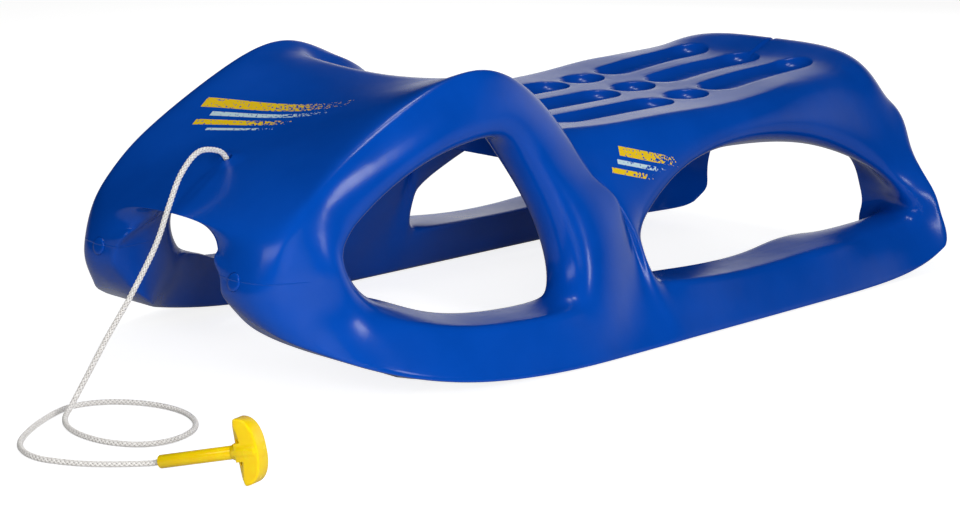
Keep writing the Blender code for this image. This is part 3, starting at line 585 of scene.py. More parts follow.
def moulded_blue():
    """Blow-moulded polyethylene."""
    # A waxy gloss over faint orange peel and shallow dents, with drawn lines where the skin lies
    # flat and the mould's parting line across the noses
    material, tree, shader, place = new_material("blow-moulded polyethylene")
    x, y, z = add(tree, "SeparateXYZ", (place,)).outputs
    upright = add(tree, "SeparateXYZ", (add(tree, "NewGeometry").outputs["Normal"],)).outputs[2]
    cloud = add(tree, "TexNoise", {"Vector": place, "Scale": 1 / 70, "Detail": 3})
    part = add(tree, "MapRange", (cloud, 0.3, 0.7, 0, 1))
    colour = add(tree, "Mix", {0: part, 6: srgb("0046AC"), 7: srgb("004CB8")}, data_type="RGBA")

    # Slanted bars in two colours on the hood and the sides, a generic sport print
    level = add(tree, "Math", (upright, 0.6), operation="GREATER_THAN")
    ahead = add(tree, "Math", (y, HOOD_PRINT_END), operation="LESS_THAN")
    hood = add(tree, "Math", (level, ahead), operation="MULTIPLY")
    colour = print_bars(tree, place, colour, (0, 1), (0, 0, HOOD_PRINT_LEAN), hood, HOOD_BARS)
    steep = add(tree, "Math", (upright, 0.75), operation="LESS_THAN")
    aside = add(tree, "Math", (x,), operation="ABSOLUTE")
    aside = add(tree, "Math", (aside, SIDE_PRINT_START), operation="GREATER_THAN")
    sides = add(tree, "Math", (steep, aside), operation="MULTIPLY")
    colour = print_bars(tree, place, colour, (1, 2), (SIDE_PRINT_LEAN, 0, 0), sides, SIDE_BARS)

    flat = add(tree, "MapRange", (upright, 0.6, 0.9, 0, 1))
    gloss = add(tree, "MapRange", (cloud, 0.3, 0.7, 0.16, 0.22))
    gloss = add(tree, "Math", (flat, 0.05, gloss), operation="MULTIPLY_ADD")
    dents = add(tree, "TexNoise", {"Vector": place, "Scale": 1 / 26, "Detail": 1})
    peel = add(tree, "TexNoise", {"Vector": place, "Scale": 1 / 3.2, "Detail": 2})
    drawn = add(tree, "Mapping", {"Vector": place, "Scale": (1, 0.02, 1)})
    drawn = add(tree, "TexNoise", {"Vector": drawn, "Scale": 1 / 2.4, "Detail": 3})
    drawn = add(tree, "Math", (drawn, flat), operation="MULTIPLY")
    away = add(tree, "Math", (z, PARTING_HEIGHT), operation="SUBTRACT")
    away = add(tree, "Math", (away,), operation="ABSOLUTE")
    ridge = add(tree, "MapRange", (away, 0.1, 0.7, 1, 0))
    noses = add(tree, "MapRange", (y, PARTING_END - 5, PARTING_END + 5, 1, 0))
    ridge = add(tree, "Math", (ridge, noses), operation="MULTIPLY")
    reliefs = ((dents, 0.25), (peel, 0.04), (drawn, 0.1), (ridge, 0.3))
    values = {"Base Color": colour, "Roughness": gloss, "IOR": 1.5, "Specular IOR Level": 0.35}
    finish(tree, shader, values, reliefs)
    return material


def braided():
    """Braided polypropylene yarn."""
    # Dry and off-white, with painted shade where strands run under each other and over the whole
    # core between them, and fine darker filaments along each strand
    material, tree, shader, place = new_material("braided polypropylene")
    tone = add(tree, "Attribute", attribute_name="strand").outputs["Fac"]
    height = add(tree, "Attribute", attribute_name="height").outputs["Fac"]
    fibre = add(tree, "TexNoise", {"Vector": place, "Scale": 1 / 0.35, "Detail": 2})
    colour = add(tree, "Mix", {0: tone, 6: srgb("F0EDE9"), 7: srgb("FFFDFA")}, data_type="RGBA")
    # The first mix is painted shade under the crossings and on the core; the second is the yarn's
    # own darker filaments
    for share, painted_shade_and_fibre_tone in (
        (add(tree, "MapRange", (height, -1, 0.3, 1, 0)), "7E746F"),
        (add(tree, "MapRange", (fibre, 0.35, 0.65, 0, 0.2)), "D8D3CC"),
    ):
        colour = add(tree, "Mix", {0: share, 6: colour, 7: srgb(painted_shade_and_fibre_tone)}, data_type="RGBA")
    values = {"Base Color": colour, "Roughness": 0.62, "Sheen Weight": 0.15}
    finish(tree, shader, values, ((fibre, 0.06),))
    return material


def yellow_plastic():
    """Injection-moulded polyethylene."""
    # Bright and a little see-through, with a fine mottle from the mould
    material, tree, shader, place = new_material("injection-moulded yellow plastic")
    cloud = add(tree, "TexNoise", {"Vector": place, "Scale": 1 / 9, "Detail": 2})
    mottle = add(tree, "TexNoise", {"Vector": place, "Scale": 1 / 1.5, "Detail": 1})
    part = add(tree, "MapRange", (cloud, 0.35, 0.65, 0, 1))
    colour = add(tree, "Mix", {0: part, 6: srgb("FFD200"), 7: srgb("FFDA08")}, data_type="RGBA")
    gloss = add(tree, "MapRange", (cloud, 0.3, 0.7, 0.2, 0.28))
    values = {
        "Base Color": colour,
        "Roughness": gloss,
        "Subsurface Weight": 0.25,
        "Subsurface Radius": (1.0, 0.6, 0.1),
        "Subsurface Scale": 3 * MM,
    }
    finish(tree, shader, values, ((mottle, 0.02),))
    return material


def rolled_steel():
    """Cold-rolled steel strip."""
    # Grey metal with lines along its length and dull patches
    material, tree, shader, place = new_material("rolled steel strip")
    lines = add(tree, "Mapping", {"Vector": place, "Scale": (1, 0.01, 1)})
    lines = add(tree, "TexNoise", {"Vector": lines, "Scale": 1 / 0.9, "Detail": 3})
    cloud = add(tree, "TexNoise", {"Vector": place, "Scale": 1 / 18, "Detail": 3})
    colour = add(tree, "Mix", {0: lines, 6: srgb("8F9296"), 7: srgb("B9BCBF")}, data_type="RGBA")
    gloss = add(tree, "MapRange", (cloud, 0.3, 0.7, 0.28, 0.45))
    values = {"Base Color": colour, "Roughness": gloss, "Metallic": 1.0}
    finish(tree, shader, values, ((lines, 0.03),))
    return material


def zinc_plate():
    """Zinc-plated steel, as on small screws."""
    # Pale metal with a faintly yellow bloom and tool marks
    material, tree, shader, place = new_material("zinc-plated steel")
    cloud = add(tree, "TexNoise", {"Vector": place, "Scale": 1 / 2.5, "Detail": 2})
    marks = add(tree, "TexNoise", {"Vector": place, "Scale": 1 / 0.6, "Detail": 1})
    colour = add(tree, "Mix", {0: cloud, 6: srgb("B5B5AE"), 7: srgb("CFCBB4")}, data_type="RGBA")
    gloss = add(tree, "MapRange", (cloud, 0.3, 0.7, 0.22, 0.38))
    values = {"Base Color": colour, "Roughness": gloss, "Metallic": 1.0}
    finish(tree, shader, values, ((marks, 0.02),))
    return material


# Body


def skins_of(station):
    """The outer and the under skin's points of one station."""
    ys, xs, zs, lining_ys, lining_xs, lining_zs, walls = station
    outer = [Vector((x * HALF_WIDTH, y * LENGTH, z * HEIGHT)) for x, y, z in zip(xs, ys, zs)]
    across = [share * HALF_WIDTH for share in lining_xs]
    across += [outer[row].x - share * WALL for row, share in zip(SIDE_ROWS, walls)]
    places = zip(across, lining_ys, lining_zs)
    lining = [Vector((x, y * LENGTH, z * HEIGHT)) for x, y, z in places]
    return outer, lining


def is_open(station, row):
    """Whether the cell behind this station and below this row is one of the openings."""
    for start, end in (FRONT_WINDOW_STATIONS, REAR_WINDOW_STATIONS):
        if start <= station < end and row in WINDOW_ROWS:
            return True
    return LEG_STATIONS[0] <= station < LEG_STATIONS[1] and row == 0


def body_cage():
    """One half of the moulding as a coarse cage: two skins, joined at feet, ends and openings."""
    bm = bmesh.new()
    crease = bm.edges.layers.float.new("crease_edge")
    outer = []
    lining = []
    for station in STATION_SHARES:
        skin, under = skins_of(station)
        outer.append([bm.verts.new(point) for point in skin])
        lining.append([bm.verts.new(point) for point in under])
    last = len(STATION_SHARES) - 1
    for i in range(last):
        for row in range(FOOT_ROW):
            here = (i, row)
            after = (i + 1, row)
            if not is_open(*here):
                for skin in (outer, lining):
                    first, second = skin[i], skin[i + 1]
                    bm.faces.new((first[row], second[row], second[row + 1], first[row + 1]))
                continue
            sides = (
                ((i - 1, row), here, (i, row + 1)),
                ((i + 1, row), after, (i + 1, row + 1)),
                ((i, row - 1), here, after),
                ((i, row + 1), (i, row + 1), (i + 1, row + 1)),
            )
            for neighbour, start, end in sides:
                if neighbour[1] >= 0 and not is_open(*neighbour):
                    (a, b), (c, d) = start, end
                    bm.faces.new((outer[a][b], outer[c][d], lining[c][d], lining[a][b]))
        foot = ((outer, i), (outer, i + 1), (lining, i + 1), (lining, i))
        bm.faces.new([skin[station][FOOT_ROW] for skin, station in foot])
        for skin in (outer, lining):
            bm.edges.get((skin[i][FOOT_ROW], skin[i + 1][FOOT_ROW]))[crease] = FOOT_CREASE
    for skin, under in ((outer[0], lining[0]), (outer[last], lining[last])):
        for row in range(FOOT_ROW):
            bm.faces.new((skin[row], skin[row + 1], under[row + 1], under[row]))
    for i in range(*SEAT_STATIONS):
        bm.edges.get((outer[i][1], outer[i + 1][1]))[crease] = SEAT_CREASE
    for row in range(1, WINDOW_ROWS[-1]):
        bm.edges.get((outer[ARCH_STATION][row], outer[ARCH_STATION][row + 1]))[crease] = ARCH_CREASE
        panel = bm.edges.get((outer[ARCH_STATION + 1][row], outer[ARCH_STATION + 1][row + 1]))
        panel[crease] = PANEL_CREASE
    for row in range(SHOULDER_ROW, FOOT_ROW):
        bm.edges.get((outer[last][row], outer[last][row + 1]))[crease] = TAIL_CREASE
        if row >= WINDOW_ROWS[0]:
            bm.edges.get((lining[0][row], lining[0][row + 1]))[crease] = NOSE_CREASE
    sill = WINDOW_ROWS[-1] + 1
    for start, end in (FRONT_WINDOW_STATIONS, REAR_WINDOW_STATIONS):
        for skin in (outer, lining):
            for i in range(start, end):
                edge = bm.edges.get((skin[i][sill], skin[i + 1][sill]))
                edge[crease] = SILL_CREASE
    for skin in (outer, lining):
        bm.edges.get((skin[end - 1][sill], skin[end][sill]))[crease] = 0
    start, end = LEG_STATIONS
    for i in range(start, end):
        bm.edges.get((outer[i][1], outer[i + 1][1]))[crease] = LEG_CREASE
    for i in LEG_STATIONS:
        bm.edges.get((outer[i][0], outer[i][1]))[crease] = LEG_CREASE
    for loose in [vert for vert in bm.verts if not vert.link_faces]:
        bm.verts.remove(loose)
    return bm, outer, lining


def settle(cage, kept_heights):
    """Moves the cage's points until the rounded skin runs close to the stations' points."""
    wanted = [vert.co.copy() for vert in cage.data.vertices]
    for _ in range(SETTLING_PASSES):
        graph = bpy.context.evaluated_depsgraph_get()
        rounded = cage.evaluated_get(graph)
        skin = rounded.to_mesh()
        found = [skin.vertices[i].co.copy() for i in range(len(wanted))]
        rounded.to_mesh_clear()
        for vert, target, now in zip(cage.data.vertices, wanted, found):
            move = (target - now) * SETTLING_GAIN
            if vert.index in kept_heights:
                move.z = 0
            if target.x == 0:
                move.x = 0
            vert.co += move
        cage.data.update()


def rounded_body():
    """The moulding's skin before anything is sunk into it, finely divided."""
    bm, outer, lining = body_cage()
    bm.verts.index_update()
    feet = {column[FOOT_ROW].index for skin in (outer, lining) for column in skin}
    body = link_object("moulded_body", mesh_from(bm, "moulded_body"))
    mirror = body.modifiers.new("other half", "MIRROR")
    mirror.use_clip = True
    mirror.merge_threshold = WELD
    rounding = body.modifiers.new("rounding", "SUBSURF")
    rounding.levels = rounding.render_levels = SETTLING_LEVELS
    settle(body, feet)
    rounding.levels = rounding.render_levels = FINE_LEVELS
    return made_plain(body)


def stadium(start, end, inset):
    """Points round a recess between two places along Y, drawn in by the inset."""
    radius = RECESS_WIDTH / 2 - inset
    low = start + RECESS_WIDTH / 2
    high = end - RECESS_WIDTH / 2
    points = []
    for centre, first in ((high, 0), (low, math.pi)):
        for i in range(RECESS_ARC_STEPS + 1):
            angle = first + math.pi * i / RECESS_ARC_STEPS
            points.append(Vector((radius * math.cos(angle), centre + radius * math.sin(angle))))
    dense = []
    for first, second in zip(points, points[1:] + points[:1]):
        pieces = max(1, round((second - first).length / RECESS_SIDE_STEP))
        dense += [first.lerp(second, i / pieces) for i in range(pieces)]
    return dense


def recess_places():
    """Where the nine recesses lie: x, and the two ends of each along Y."""
    places = []
    for column in (-1, 0, 1):
        for start, end in RECESS_END_SHARES:
            middle = (start + end) / 2 * LENGTH
            length = max((end - start) * LENGTH, RECESS_WIDTH + WELD)
            places.append((column * COLUMN_SPACING, middle - length / 2, middle + length / 2))
    return places


def inset_at(point, places):
    """How far a point in plan lies inside the nearest recess's outline; less than 0 is outside."""
    best = -1.0
    for x, start, end in places:
        low = start + RECESS_WIDTH / 2
        high = end - RECESS_WIDTH / 2
        nearest = min(max(point.y, low), high)
        best = max(best, RECESS_WIDTH / 2 - math.hypot(point.x - x, point.y - nearest))
    return best


def recess_depth(inset):
    """The recess's depth at this distance in from its outline."""
    profile = [(distance * MM, depth * MM) for distance, depth in RECESS_PROFILE]
    if inset <= profile[0][0]:
        return 0.0
    for (near, shallow), (far, deep) in zip(profile, profile[1:]):
        if inset <= far:
            return shallow + (deep - shallow) * (inset - near) / (far - near)
    return profile[-1][1]


def sink_recesses(body):
    """Replaces the seat round each recess by skin that dips into it over a rounded lip."""
    bm = bmesh.new()
    bm.from_mesh(body.data)
    bm.verts.ensure_lookup_table()
    bm.faces.ensure_lookup_table()
    tree = BVHTree.FromBMesh(bm)
    places = recess_places()
    above = Vector((0, 0, HEIGHT * 2))
    down = Vector((0, 0, -1))
    low = min(start for _, start, _ in places) - RECESS_BAND
    high = max(end for _, _, end in places) + RECESS_BAND
    reach = COLUMN_SPACING + RECESS_WIDTH / 2 + RECESS_BAND
    taken = set()
    for face in bm.faces:
        middle = face.calc_center_median()
        if abs(middle.x) > reach + OVERRUN or not low - OVERRUN < middle.y < high + OVERRUN:
            continue
        if face.normal.z < SEAT_LEAST_RISE:
            continue
        if max(inset_at(vert.co, places) for vert in face.verts) < -RECESS_BAND:
            continue
        if tree.ray_cast(middle + above, down)[2] == face.index:
            taken.add(face)
    taken_index = {face.index for face in taken}
    around = {edge for face in taken for edge in face.edges}
    rim_edges = {edge for edge in around if sum(face in taken for face in edge.link_faces) == 1}
    rim = {vert for edge in rim_edges for vert in edge.verts}
    inside = {vert for face in taken for vert in face.verts} - rim
    order = list(rim)
    number = {vert: i for i, vert in enumerate(order)}
    coords = [vert.co.xy for vert in order]
    heights = [vert.co.z for vert in order]
    links = [tuple(number[vert] for vert in edge.verts) for edge in rim_edges]
    for vert in inside:
        inset = inset_at(vert.co, places)
        if inset < -RECESS_BAND or inset > RECESS_FLOOR:
            coords.append(vert.co.xy)
            heights.append(vert.co.z - recess_depth(inset))
    for x, start, end in places:
        for distance, _ in RECESS_PROFILE:
            loop = stadium(start, end, distance * MM)
            first = len(coords)
            for point in loop:
                point.x += x
                coords.append(point)
                hit = tree.ray_cast(Vector((*point, HEIGHT * 2)), down)[0]
                inset = max(inset_at(point, places), distance * MM)
                heights.append(hit.z - recess_depth(inset))
            count = len(loop)
            links += [(first + i, first + (i + 1) % count) for i in range(count)]
    scaled = [point / MM for point in coords]
    found, _, triangles, sources, _, _ = delaunay_2d_cdt(
        scaled, links, [], 1, TRIANGULATION_TOLERANCE, True
    )
    verts = []
    for point, source in zip(found, sources):
        here = point * MM
        if source and source[0] < len(order):
            verts.append(order[source[0]])
            continue
        if source:
            height = heights[source[0]]
        else:
            hit = tree.ray_cast(Vector((*here, HEIGHT * 2)), down)[0]
            height = hit.z - recess_depth(inset_at(here, places))
        verts.append(bm.verts.new((*here, height)))
    wanted = []
    for corners in triangles:
        middle = sum((found[i] for i in corners), Vector((0, 0))) / 3 * MM
        if tree.ray_cast(Vector((*middle, HEIGHT * 2)), down)[2] in taken_index:
            wanted.append(corners)
    bmesh.ops.delete(bm, geom=list(taken), context="FACES_ONLY")
    for corners in wanted:
        bm.faces.new([verts[i] for i in corners])
    loose = [edge for edge in bm.edges if not edge.link_faces]
    bmesh.ops.delete(bm, geom=loose, context="EDGES")
    bmesh.ops.delete(bm, geom=[v for v in bm.verts if not v.link_faces], context="VERTS")
    open_edges = sum(len(edge.link_faces) != 2 for edge in bm.edges)
    bmesh.ops.recalc_face_normals(bm, faces=bm.faces)
    bm.to_mesh(body.data)
    bm.free()
    print(f"recesses: {len(wanted)} faces, {open_edges} open edges")


def skins_met(body, start, direction):
    """The two places where a straight line runs into the uncut moulding and out of it."""
    _, entry, _, _ = body.ray_cast(start, direction)
    _, leaving, _, _ = body.ray_cast(entry + direction * WELD, direction)
    return entry, leaving


def tunnel_line(body):
    """The mouth of the rope's tunnel, its way down and the wall's thickness there."""
    above = Vector((0, TUNNEL_Y_SHARE * LENGTH, HEIGHT * 2))
    mouth = skins_met(body, above, Vector((0, 0, -1)))[0]
    down = Vector((0, math.sin(TUNNEL_LEAN), -math.cos(TUNNEL_LEAN)))
    under = skins_met(body, mouth - down * TUNNEL_OVERRUN, down)[1]
    return mouth, down, (under - mouth).length


def raise_boss(body, mouth):
    """A low round boss in the skin round the rope's hole."""
    normals = [vert.normal.copy() for vert in body.data.vertices]
    for vert, normal in zip(body.data.vertices, normals):
        share = 1 - (vert.co - mouth).length / BOSS_RADIUS
        if share > 0 and normal.z > 0:
            share = min(1.0, share * BOSS_STEEPNESS)
            vert.co += normal * BOSS_RISE * share * share * (3 - 2 * share)
    body.data.update()


def normals_of(line):
    """Upward normals of a line in the plane of y and z."""
    normals = []
    for i in range(len(line)):
        along = (line[min(i + 1, len(line) - 1)] - line[max(i - 1, 0)]).normalized()
        normals.append(Vector((0, -along.z, along.y)))
    return normals


def strip_groove(x):
    """The groove that takes a runner strip."""
    line = [Vector((0, y * LENGTH, z * HEIGHT)) for y, z in STRIP_PROFILE_SHARES]
    normals = normals_of(line)
    line[0] += (line[0] - line[1]).normalized() * FIT_GAP
    line[-1] += (line[-1] - line[-2]).normalized() * FIT_GAP
    half = STRIP_WIDTH / 2 + FIT_GAP
    bm = bmesh.new()
    rings = []
    for point, normal in zip(line, normals):
        ring = []
        for side, height in (
            (-half, -GROOVE_REACH),
            (half, -GROOVE_REACH),
            (half, STRIP_THICKNESS + FIT_GAP),
            (-half, STRIP_THICKNESS + FIT_GAP),
        ):
            ring.append(bm.verts.new(point + normal * height + Vector((x + side, 0, 0))))
        rings.append(ring)
    for first, second in zip(rings, rings[1:]):
        for i in range(4):
            j = (i + 1) % 4
            bm.faces.new((first[i], first[j], second[j], second[i]))
    bm.faces.new(rings[0])
    bm.faces.new(rings[-1])
    return link_object("groove_cutter", mesh_from(bm, "groove_cutter"))


def drain_cutter(body):
    """A round bar that lies half in the skin, from the middle recess over the tail."""
    first, last = (share * LENGTH for share in DRAIN_Y_SHARES)
    line = []
    for i in range(DRAIN_STEPS + 1):
        above = Vector((0, first + (last - first) * i / DRAIN_STEPS, HEIGHT * 2))
        line.append(skins_met(body, above, Vector((0, 0, -1)))[0] + Vector((0, 0, DRAIN_LIFT)))
    line.append(line[-1] + DRAIN_FALL)
    curve = bpy.data.curves.new("drain_cutter", "CURVE")
    curve.dimensions = "3D"
    curve.bevel_depth = DRAIN_RADIUS
    curve.bevel_resolution = 6
    curve.use_fill_caps = True
    spline = curve.splines.new("POLY")
    spline.points.add(len(line) - 1)
    for knot, point in zip(spline.points, line):
        knot.co = (*point, 1)
    cutter = made_plain(link_object("drain_cutter", curve))
    bm = bmesh.new()
    bm.from_mesh(cutter.data)
    bmesh.ops.remove_doubles(bm, verts=bm.verts, dist=WELD)
    bm.to_mesh(cutter.data)
    bm.free()
    return cutter


def plug_poses(body):
    """Where the two plugs sit in the noses."""
    poses = []
    for side in (1, -1):
        ahead = Vector((side * PLUG_X_SHARE * HALF_WIDTH, -LENGTH, PLUG_Z_SHARE * HEIGHT))
        _, place, normal, _ = body.ray_cast(ahead, Vector((0, 1, 0)))
        poses.append(looking_along(normal, place))
    return poses


def body_cutters(mouth, down, wall, poses, drain):
    """Everything that is cut out of the moulding in one go."""
    bore = TUNNEL_DIAMETER / 2
    flare = TUNNEL_MOUTH / 2
    sink = flare + BOSS_RISE + FIT_GAP
    profile = (
        (0, wall + TUNNEL_OVERRUN),
        (bore, wall + TUNNEL_OVERRUN),
        (bore, TUNNEL_MOUTH_DEPTH),
        (bore * 0.8 + flare * 0.2, TUNNEL_MOUTH_DEPTH * 0.4),
        (bore * 0.45 + flare * 0.55, 0),
        (flare, -BOSS_RISE),
        (sink, -BOSS_RISE - TUNNEL_MOUTH_DEPTH),
        (0, -BOSS_RISE - TUNNEL_MOUTH_DEPTH),
    )
    tunnel = turned("tunnel_cutter", profile)
    tunnel.matrix_world = looking_along(down, mouth)
    cutters = [made_plain(tunnel), drain, strip_groove(STRIP_X), strip_groove(-STRIP_X)]
    radius = PLUG_DIAMETER / 2 + FIT_GAP
    for pose in poses:
        socket_profile = (
            (0, PLUG_DEPTH),
            (radius, PLUG_DEPTH),
            (radius, -PLUG_DEPTH - FIT_GAP),
            (0, -PLUG_DEPTH - FIT_GAP),
        )
        socket = turned("socket_cutter", socket_profile)
        socket.matrix_world = pose
        cutters.append(made_plain(socket))
    return cutters


def cut_body(body, cutters):
    """Cuts the cutters out of the body and clears them away."""
    group = bpy.data.collections.new("cutters")
    for cutter in cutters:
        group.objects.link(cutter)
    boolean = body.modifiers.new("cut", "BOOLEAN")
    boolean.operation = "DIFFERENCE"
    boolean.solver = "EXACT"
    boolean.operand_type = "COLLECTION"
    boolean.collection = group
    finished = made_plain(body)
    for cutter in cutters:
        bpy.data.objects.remove(cutter)
    bpy.data.collections.remove(group)
    return finished


def nose_plugs(poses, material):
    """Round plugs that close the blow holes, each a disc with a rounded rim."""
    radius = PLUG_DIAMETER / 2
    rim = [(radius * across, PLUG_CROWN * up) for across, up in PLUG_RIM_SHARES]
    profile = ((0, PLUG_CROWN * PLUG_MIDDLE_SHARE), *rim, (radius, -PLUG_DEPTH), (0, -PLUG_DEPTH))
    for pose, word in zip(poses, ("left", "right")):
        plug = turned(f"blow_plug_{word}", profile)
        plug.matrix_world = pose
        plug = shade(made_plain(plug, material), PLUG_SHARP_ANGLE)
        dress(plug, "sled", "nose_plug", f"nose_plug_{word}")


# Rope


def smooth_route(route, step):
    """Evenly spaced points along a smooth curve through the route's points."""
    ends = [route[0] * 2 - route[1], *route, route[-1] * 2 - route[-2]]
    fine = []
    for before, start, end, after in zip(ends, ends[1:], ends[2:], ends[3:]):
        pieces = max(2, math.ceil((end - start).length * ROUTE_FINENESS / step))
        for i in range(pieces):
            t = i / pieces
            rise = (end - before) / 2
            fall = (after - start) / 2
            cubic = (
                start * (2 * t**3 - 3 * t**2 + 1)
                + rise * (t**3 - 2 * t**2 + t)
                + end * (3 * t**2 - 2 * t**3)
                + fall * (t**3 - t**2)
            )
            fine.append(cubic)
    fine.append(route[-1])
    lengths = [0.0]
    for first, second in zip(fine, fine[1:]):
        lengths.append(lengths[-1] + (second - first).length)
    count = round(lengths[-1] / step)
    spaced = [fine[0]]
    index = 0
    for i in range(1, count):
        target = lengths[-1] * i / count
        while lengths[index + 1] < target:
            index += 1
        part = (target - lengths[index]) / (lengths[index + 1] - lengths[index])
        spaced.append(fine[index].lerp(fine[index + 1], part))
    spaced.append(fine[-1])
    return spaced, lengths[-1]


def braid_tree(material):
    """A braid along a curve: strands that wind both ways round it, over and under each other."""
    tree = bpy.data.node_groups.new("round braid", "GeometryNodeTree")
    kinds = {"Geometry": "Geometry", **dict.fromkeys(BRAID_SIZES, "Float")}
    kinds |= {"Strands": "Int", "Seed": "Int"}
    for name, kind in kinds.items():
        tree.interface.new_socket(name, in_out="INPUT", socket_type=f"NodeSocket{kind}")
    tree.interface.new_socket("Geometry", in_out="OUTPUT", socket_type="NodeSocketGeometry")
    given = add(tree, "NodeGroupInput").outputs

    # One copy of the line for each strand, which keeps its number, its way out and its height
    inputs = {"Curve": given["Geometry"], "Length": given["Step"]}
    line = add(tree, "GeometryNodeResampleCurve", inputs, mode="LENGTH")
    inputs = {"Geometry": line, "Amount": given["Strands"]}
    copies = add(tree, "GeometryNodeDuplicateElements", inputs, domain="SPLINE")
    number = copies.outputs["Duplicate Index"]
    kept = add(tree, "GeometryNodeCaptureAttribute", {"Geometry": copies}, domain="POINT")
    for kind, name in (("FLOAT", "Number"), ("VECTOR", "Outward"), ("FLOAT", "Height")):
        kept.capture_items.new(kind, name)

    # Odd strands wind one way and even ones the other, spread evenly round the line
    half = add(tree, "Math", (number, 2), operation="DIVIDE")
    half = add(tree, "Math", (half,), operation="FLOOR")
    way = add(tree, "Math", (number, 2), operation="MODULO")
    way = add(tree, "Math", (way, 2, -1), operation="MULTIPLY_ADD")
    one_way = add(tree, "Math", (given["Strands"], 2), operation="DIVIDE")
    run = add(tree, "GeometryNodeSplineParameter").outputs["Length"]
    turn = add(tree, "Math", (run, given["Pitch"]), operation="DIVIDE")
    turn = add(tree, "Math", (turn, math.tau), operation="MULTIPLY")
    start = add(tree, "Math", (half, one_way), operation="DIVIDE")
    start = add(tree, "Math", (start, math.tau), operation="MULTIPLY")
    angle = add(tree, "Math", (turn, way, start), operation="MULTIPLY_ADD")
    normal = add(tree, "GeometryNodeInputNormal").outputs["Normal"]
    tangent = add(tree, "GeometryNodeInputTangent")
    side = add(tree, "VectorMath", (tangent, normal), operation="CROSS_PRODUCT")
    parts = []
    for axis, function in ((normal, "COSINE"), (side, "SINE")):
        amount = add(tree, "Math", (angle,), operation=function)
        parts.append(add(tree, "VectorMath", {0: axis, "Scale": amount}, operation="SCALE"))
    outward = add(tree, "VectorMath", parts, operation="ADD")
    wave = add(tree, "Math", (turn, one_way), operation="MULTIPLY")
    wave = add(tree, "Math", (wave,), operation="COSINE")
    height = add(tree, "Math", (wave, way), operation="MULTIPLY")
    for name, value in (("Number", number), ("Outward", outward), ("Height", height)):
        give(tree, kept.inputs[name], value)

    # Each point moves out to its place in the weave
    out, over = kept.outputs["Outward"], kept.outputs["Height"]
    inputs = (over, given["Weave"], given["Middle Radius"])
    reach = add(tree, "Math", inputs, operation="MULTIPLY_ADD")
    offset = add(tree, "VectorMath", {0: out, "Scale": reach}, operation="SCALE")
    wound = add(tree, "GeometryNodeSetPosition", {"Geometry": kept, "Offset": offset})
    strand = add(tree, "GeometryNodeSetCurveNormal", {"Curve": wound, "Normal": out}, mode="FREE")
    inputs = {"ID": kept.outputs["Number"], "Seed": given["Seed"]}
    tone = add(tree, "FunctionNodeRandomValue", inputs, data_type="FLOAT")
    # The height is also stored for the material, which paints shade where a strand runs under the
    # others
    stored = {"data_type": "FLOAT", "domain": "POINT"}
    for name, value in (("height", over), ("strand", tone)):
        inputs = {"Geometry": strand, "Name": name, "Value": value}
        strand = add(tree, "GeometryNodeStoreNamedAttribute", inputs, **stored)

    # The strands have flat oval sections, and a plain core fills the middle
    inputs = {"Resolution": STRAND_SIDES, "Radius": 1.0}
    ring = add(tree, "GeometryNodeCurvePrimitiveCircle", inputs)
    size = add(tree, "CombineXYZ", (given["Strand Thickness"], given["Strand Width"], 1.0))
    ring = add(tree, "GeometryNodeTransform", {"Geometry": ring, "Scale": size})
    inputs = {"Curve": strand, "Profile Curve": ring, "Fill Caps": True}
    strands = add(tree, "GeometryNodeCurveToMesh", inputs)
    inputs = {"Resolution": CORE_SIDES, "Radius": given["Core Radius"]}
    disc = add(tree, "GeometryNodeCurvePrimitiveCircle", inputs)
    inputs = {"Curve": given["Geometry"], "Profile Curve": disc, "Fill Caps": True}
    core = add(tree, "GeometryNodeCurveToMesh", inputs)
    # The core is stored lowest, so the material paints it in full shade
    inputs = {"Geometry": core, "Name": "height", "Value": -1.0}
    core = add(tree, "GeometryNodeStoreNamedAttribute", inputs, **stored)
    joined = add(tree, "GeometryNodeJoinGeometry", (strands,))
    give(tree, joined.inputs[0], core)
    smooth = add(tree, "GeometryNodeSetShadeSmooth", {"Geometry": joined})
    whole = add(tree, "GeometryNodeRealizeInstances", {"Geometry": smooth})
    final = add(tree, "GeometryNodeSetMaterial", {"Geometry": whole, "Material": material})
    add(tree, "NodeGroupOutput", (final,))
    return tree


def braided_rope(points, material):
    """The rope's mesh: a braid along the points."""
    curve = bpy.data.curves.new("tow_rope_braid", "CURVE")
    curve.dimensions = "3D"
    spline = curve.splines.new("POLY")
    spline.points.add(len(points) - 1)
    for knot, point in zip(spline.points, points):
        knot.co = (*point, 1)
    rope = link_object("tow_rope_braid", curve)
    braid = rope.modifiers.new("braid", "NODES")
    braid.node_group = braid_tree(material)
    wanted = {**BRAID_SIZES, "Strands": BRAID_STRANDS, "Seed": BRAID_SEED}
    for item in braid.node_group.interface.items_tree:
        if item.in_out == "INPUT" and item.name in wanted:
            braid[item.identifier] = wanted[item.name]
    return made_plain(rope)


def stopper_knot(name, start, direction, material, node):
    """A tight stopper knot, as a lump with the ridges of its strands."""
    bm = bmesh.new()
    bmesh.ops.create_uvsphere(bm, u_segments=72, v_segments=48, radius=1)
    for vert in bm.verts:
        around = math.atan2(vert.co.y, vert.co.x)
        wave = math.cos(KNOT_STRANDS * around + math.pi * vert.co.z)
        yarn = math.cos(KNOT_YARNS * KNOT_STRANDS * around - KNOT_YARN_TWIST * vert.co.z)
        swell = 1 - KNOT_RELIEF_SHARE * (1 - wave) / 2 * (1 - vert.co.z**2)
        swell *= 1 + KNOT_YARN_RELIEF_SHARE * (yarn - 1)
        vert.co.x *= swell * KNOT_DIAMETER / 2
        vert.co.y *= swell * KNOT_DIAMETER / 2
        vert.co.z *= KNOT_LENGTH / 2
    item = link_object(name, mesh_from(bm, name), material)
    item.data.transform(looking_along(direction, start + direction * KNOT_LENGTH / 2))
    item.data.shade_smooth()
    dress(item, "sled", "rope", node)
    return item


# Handle


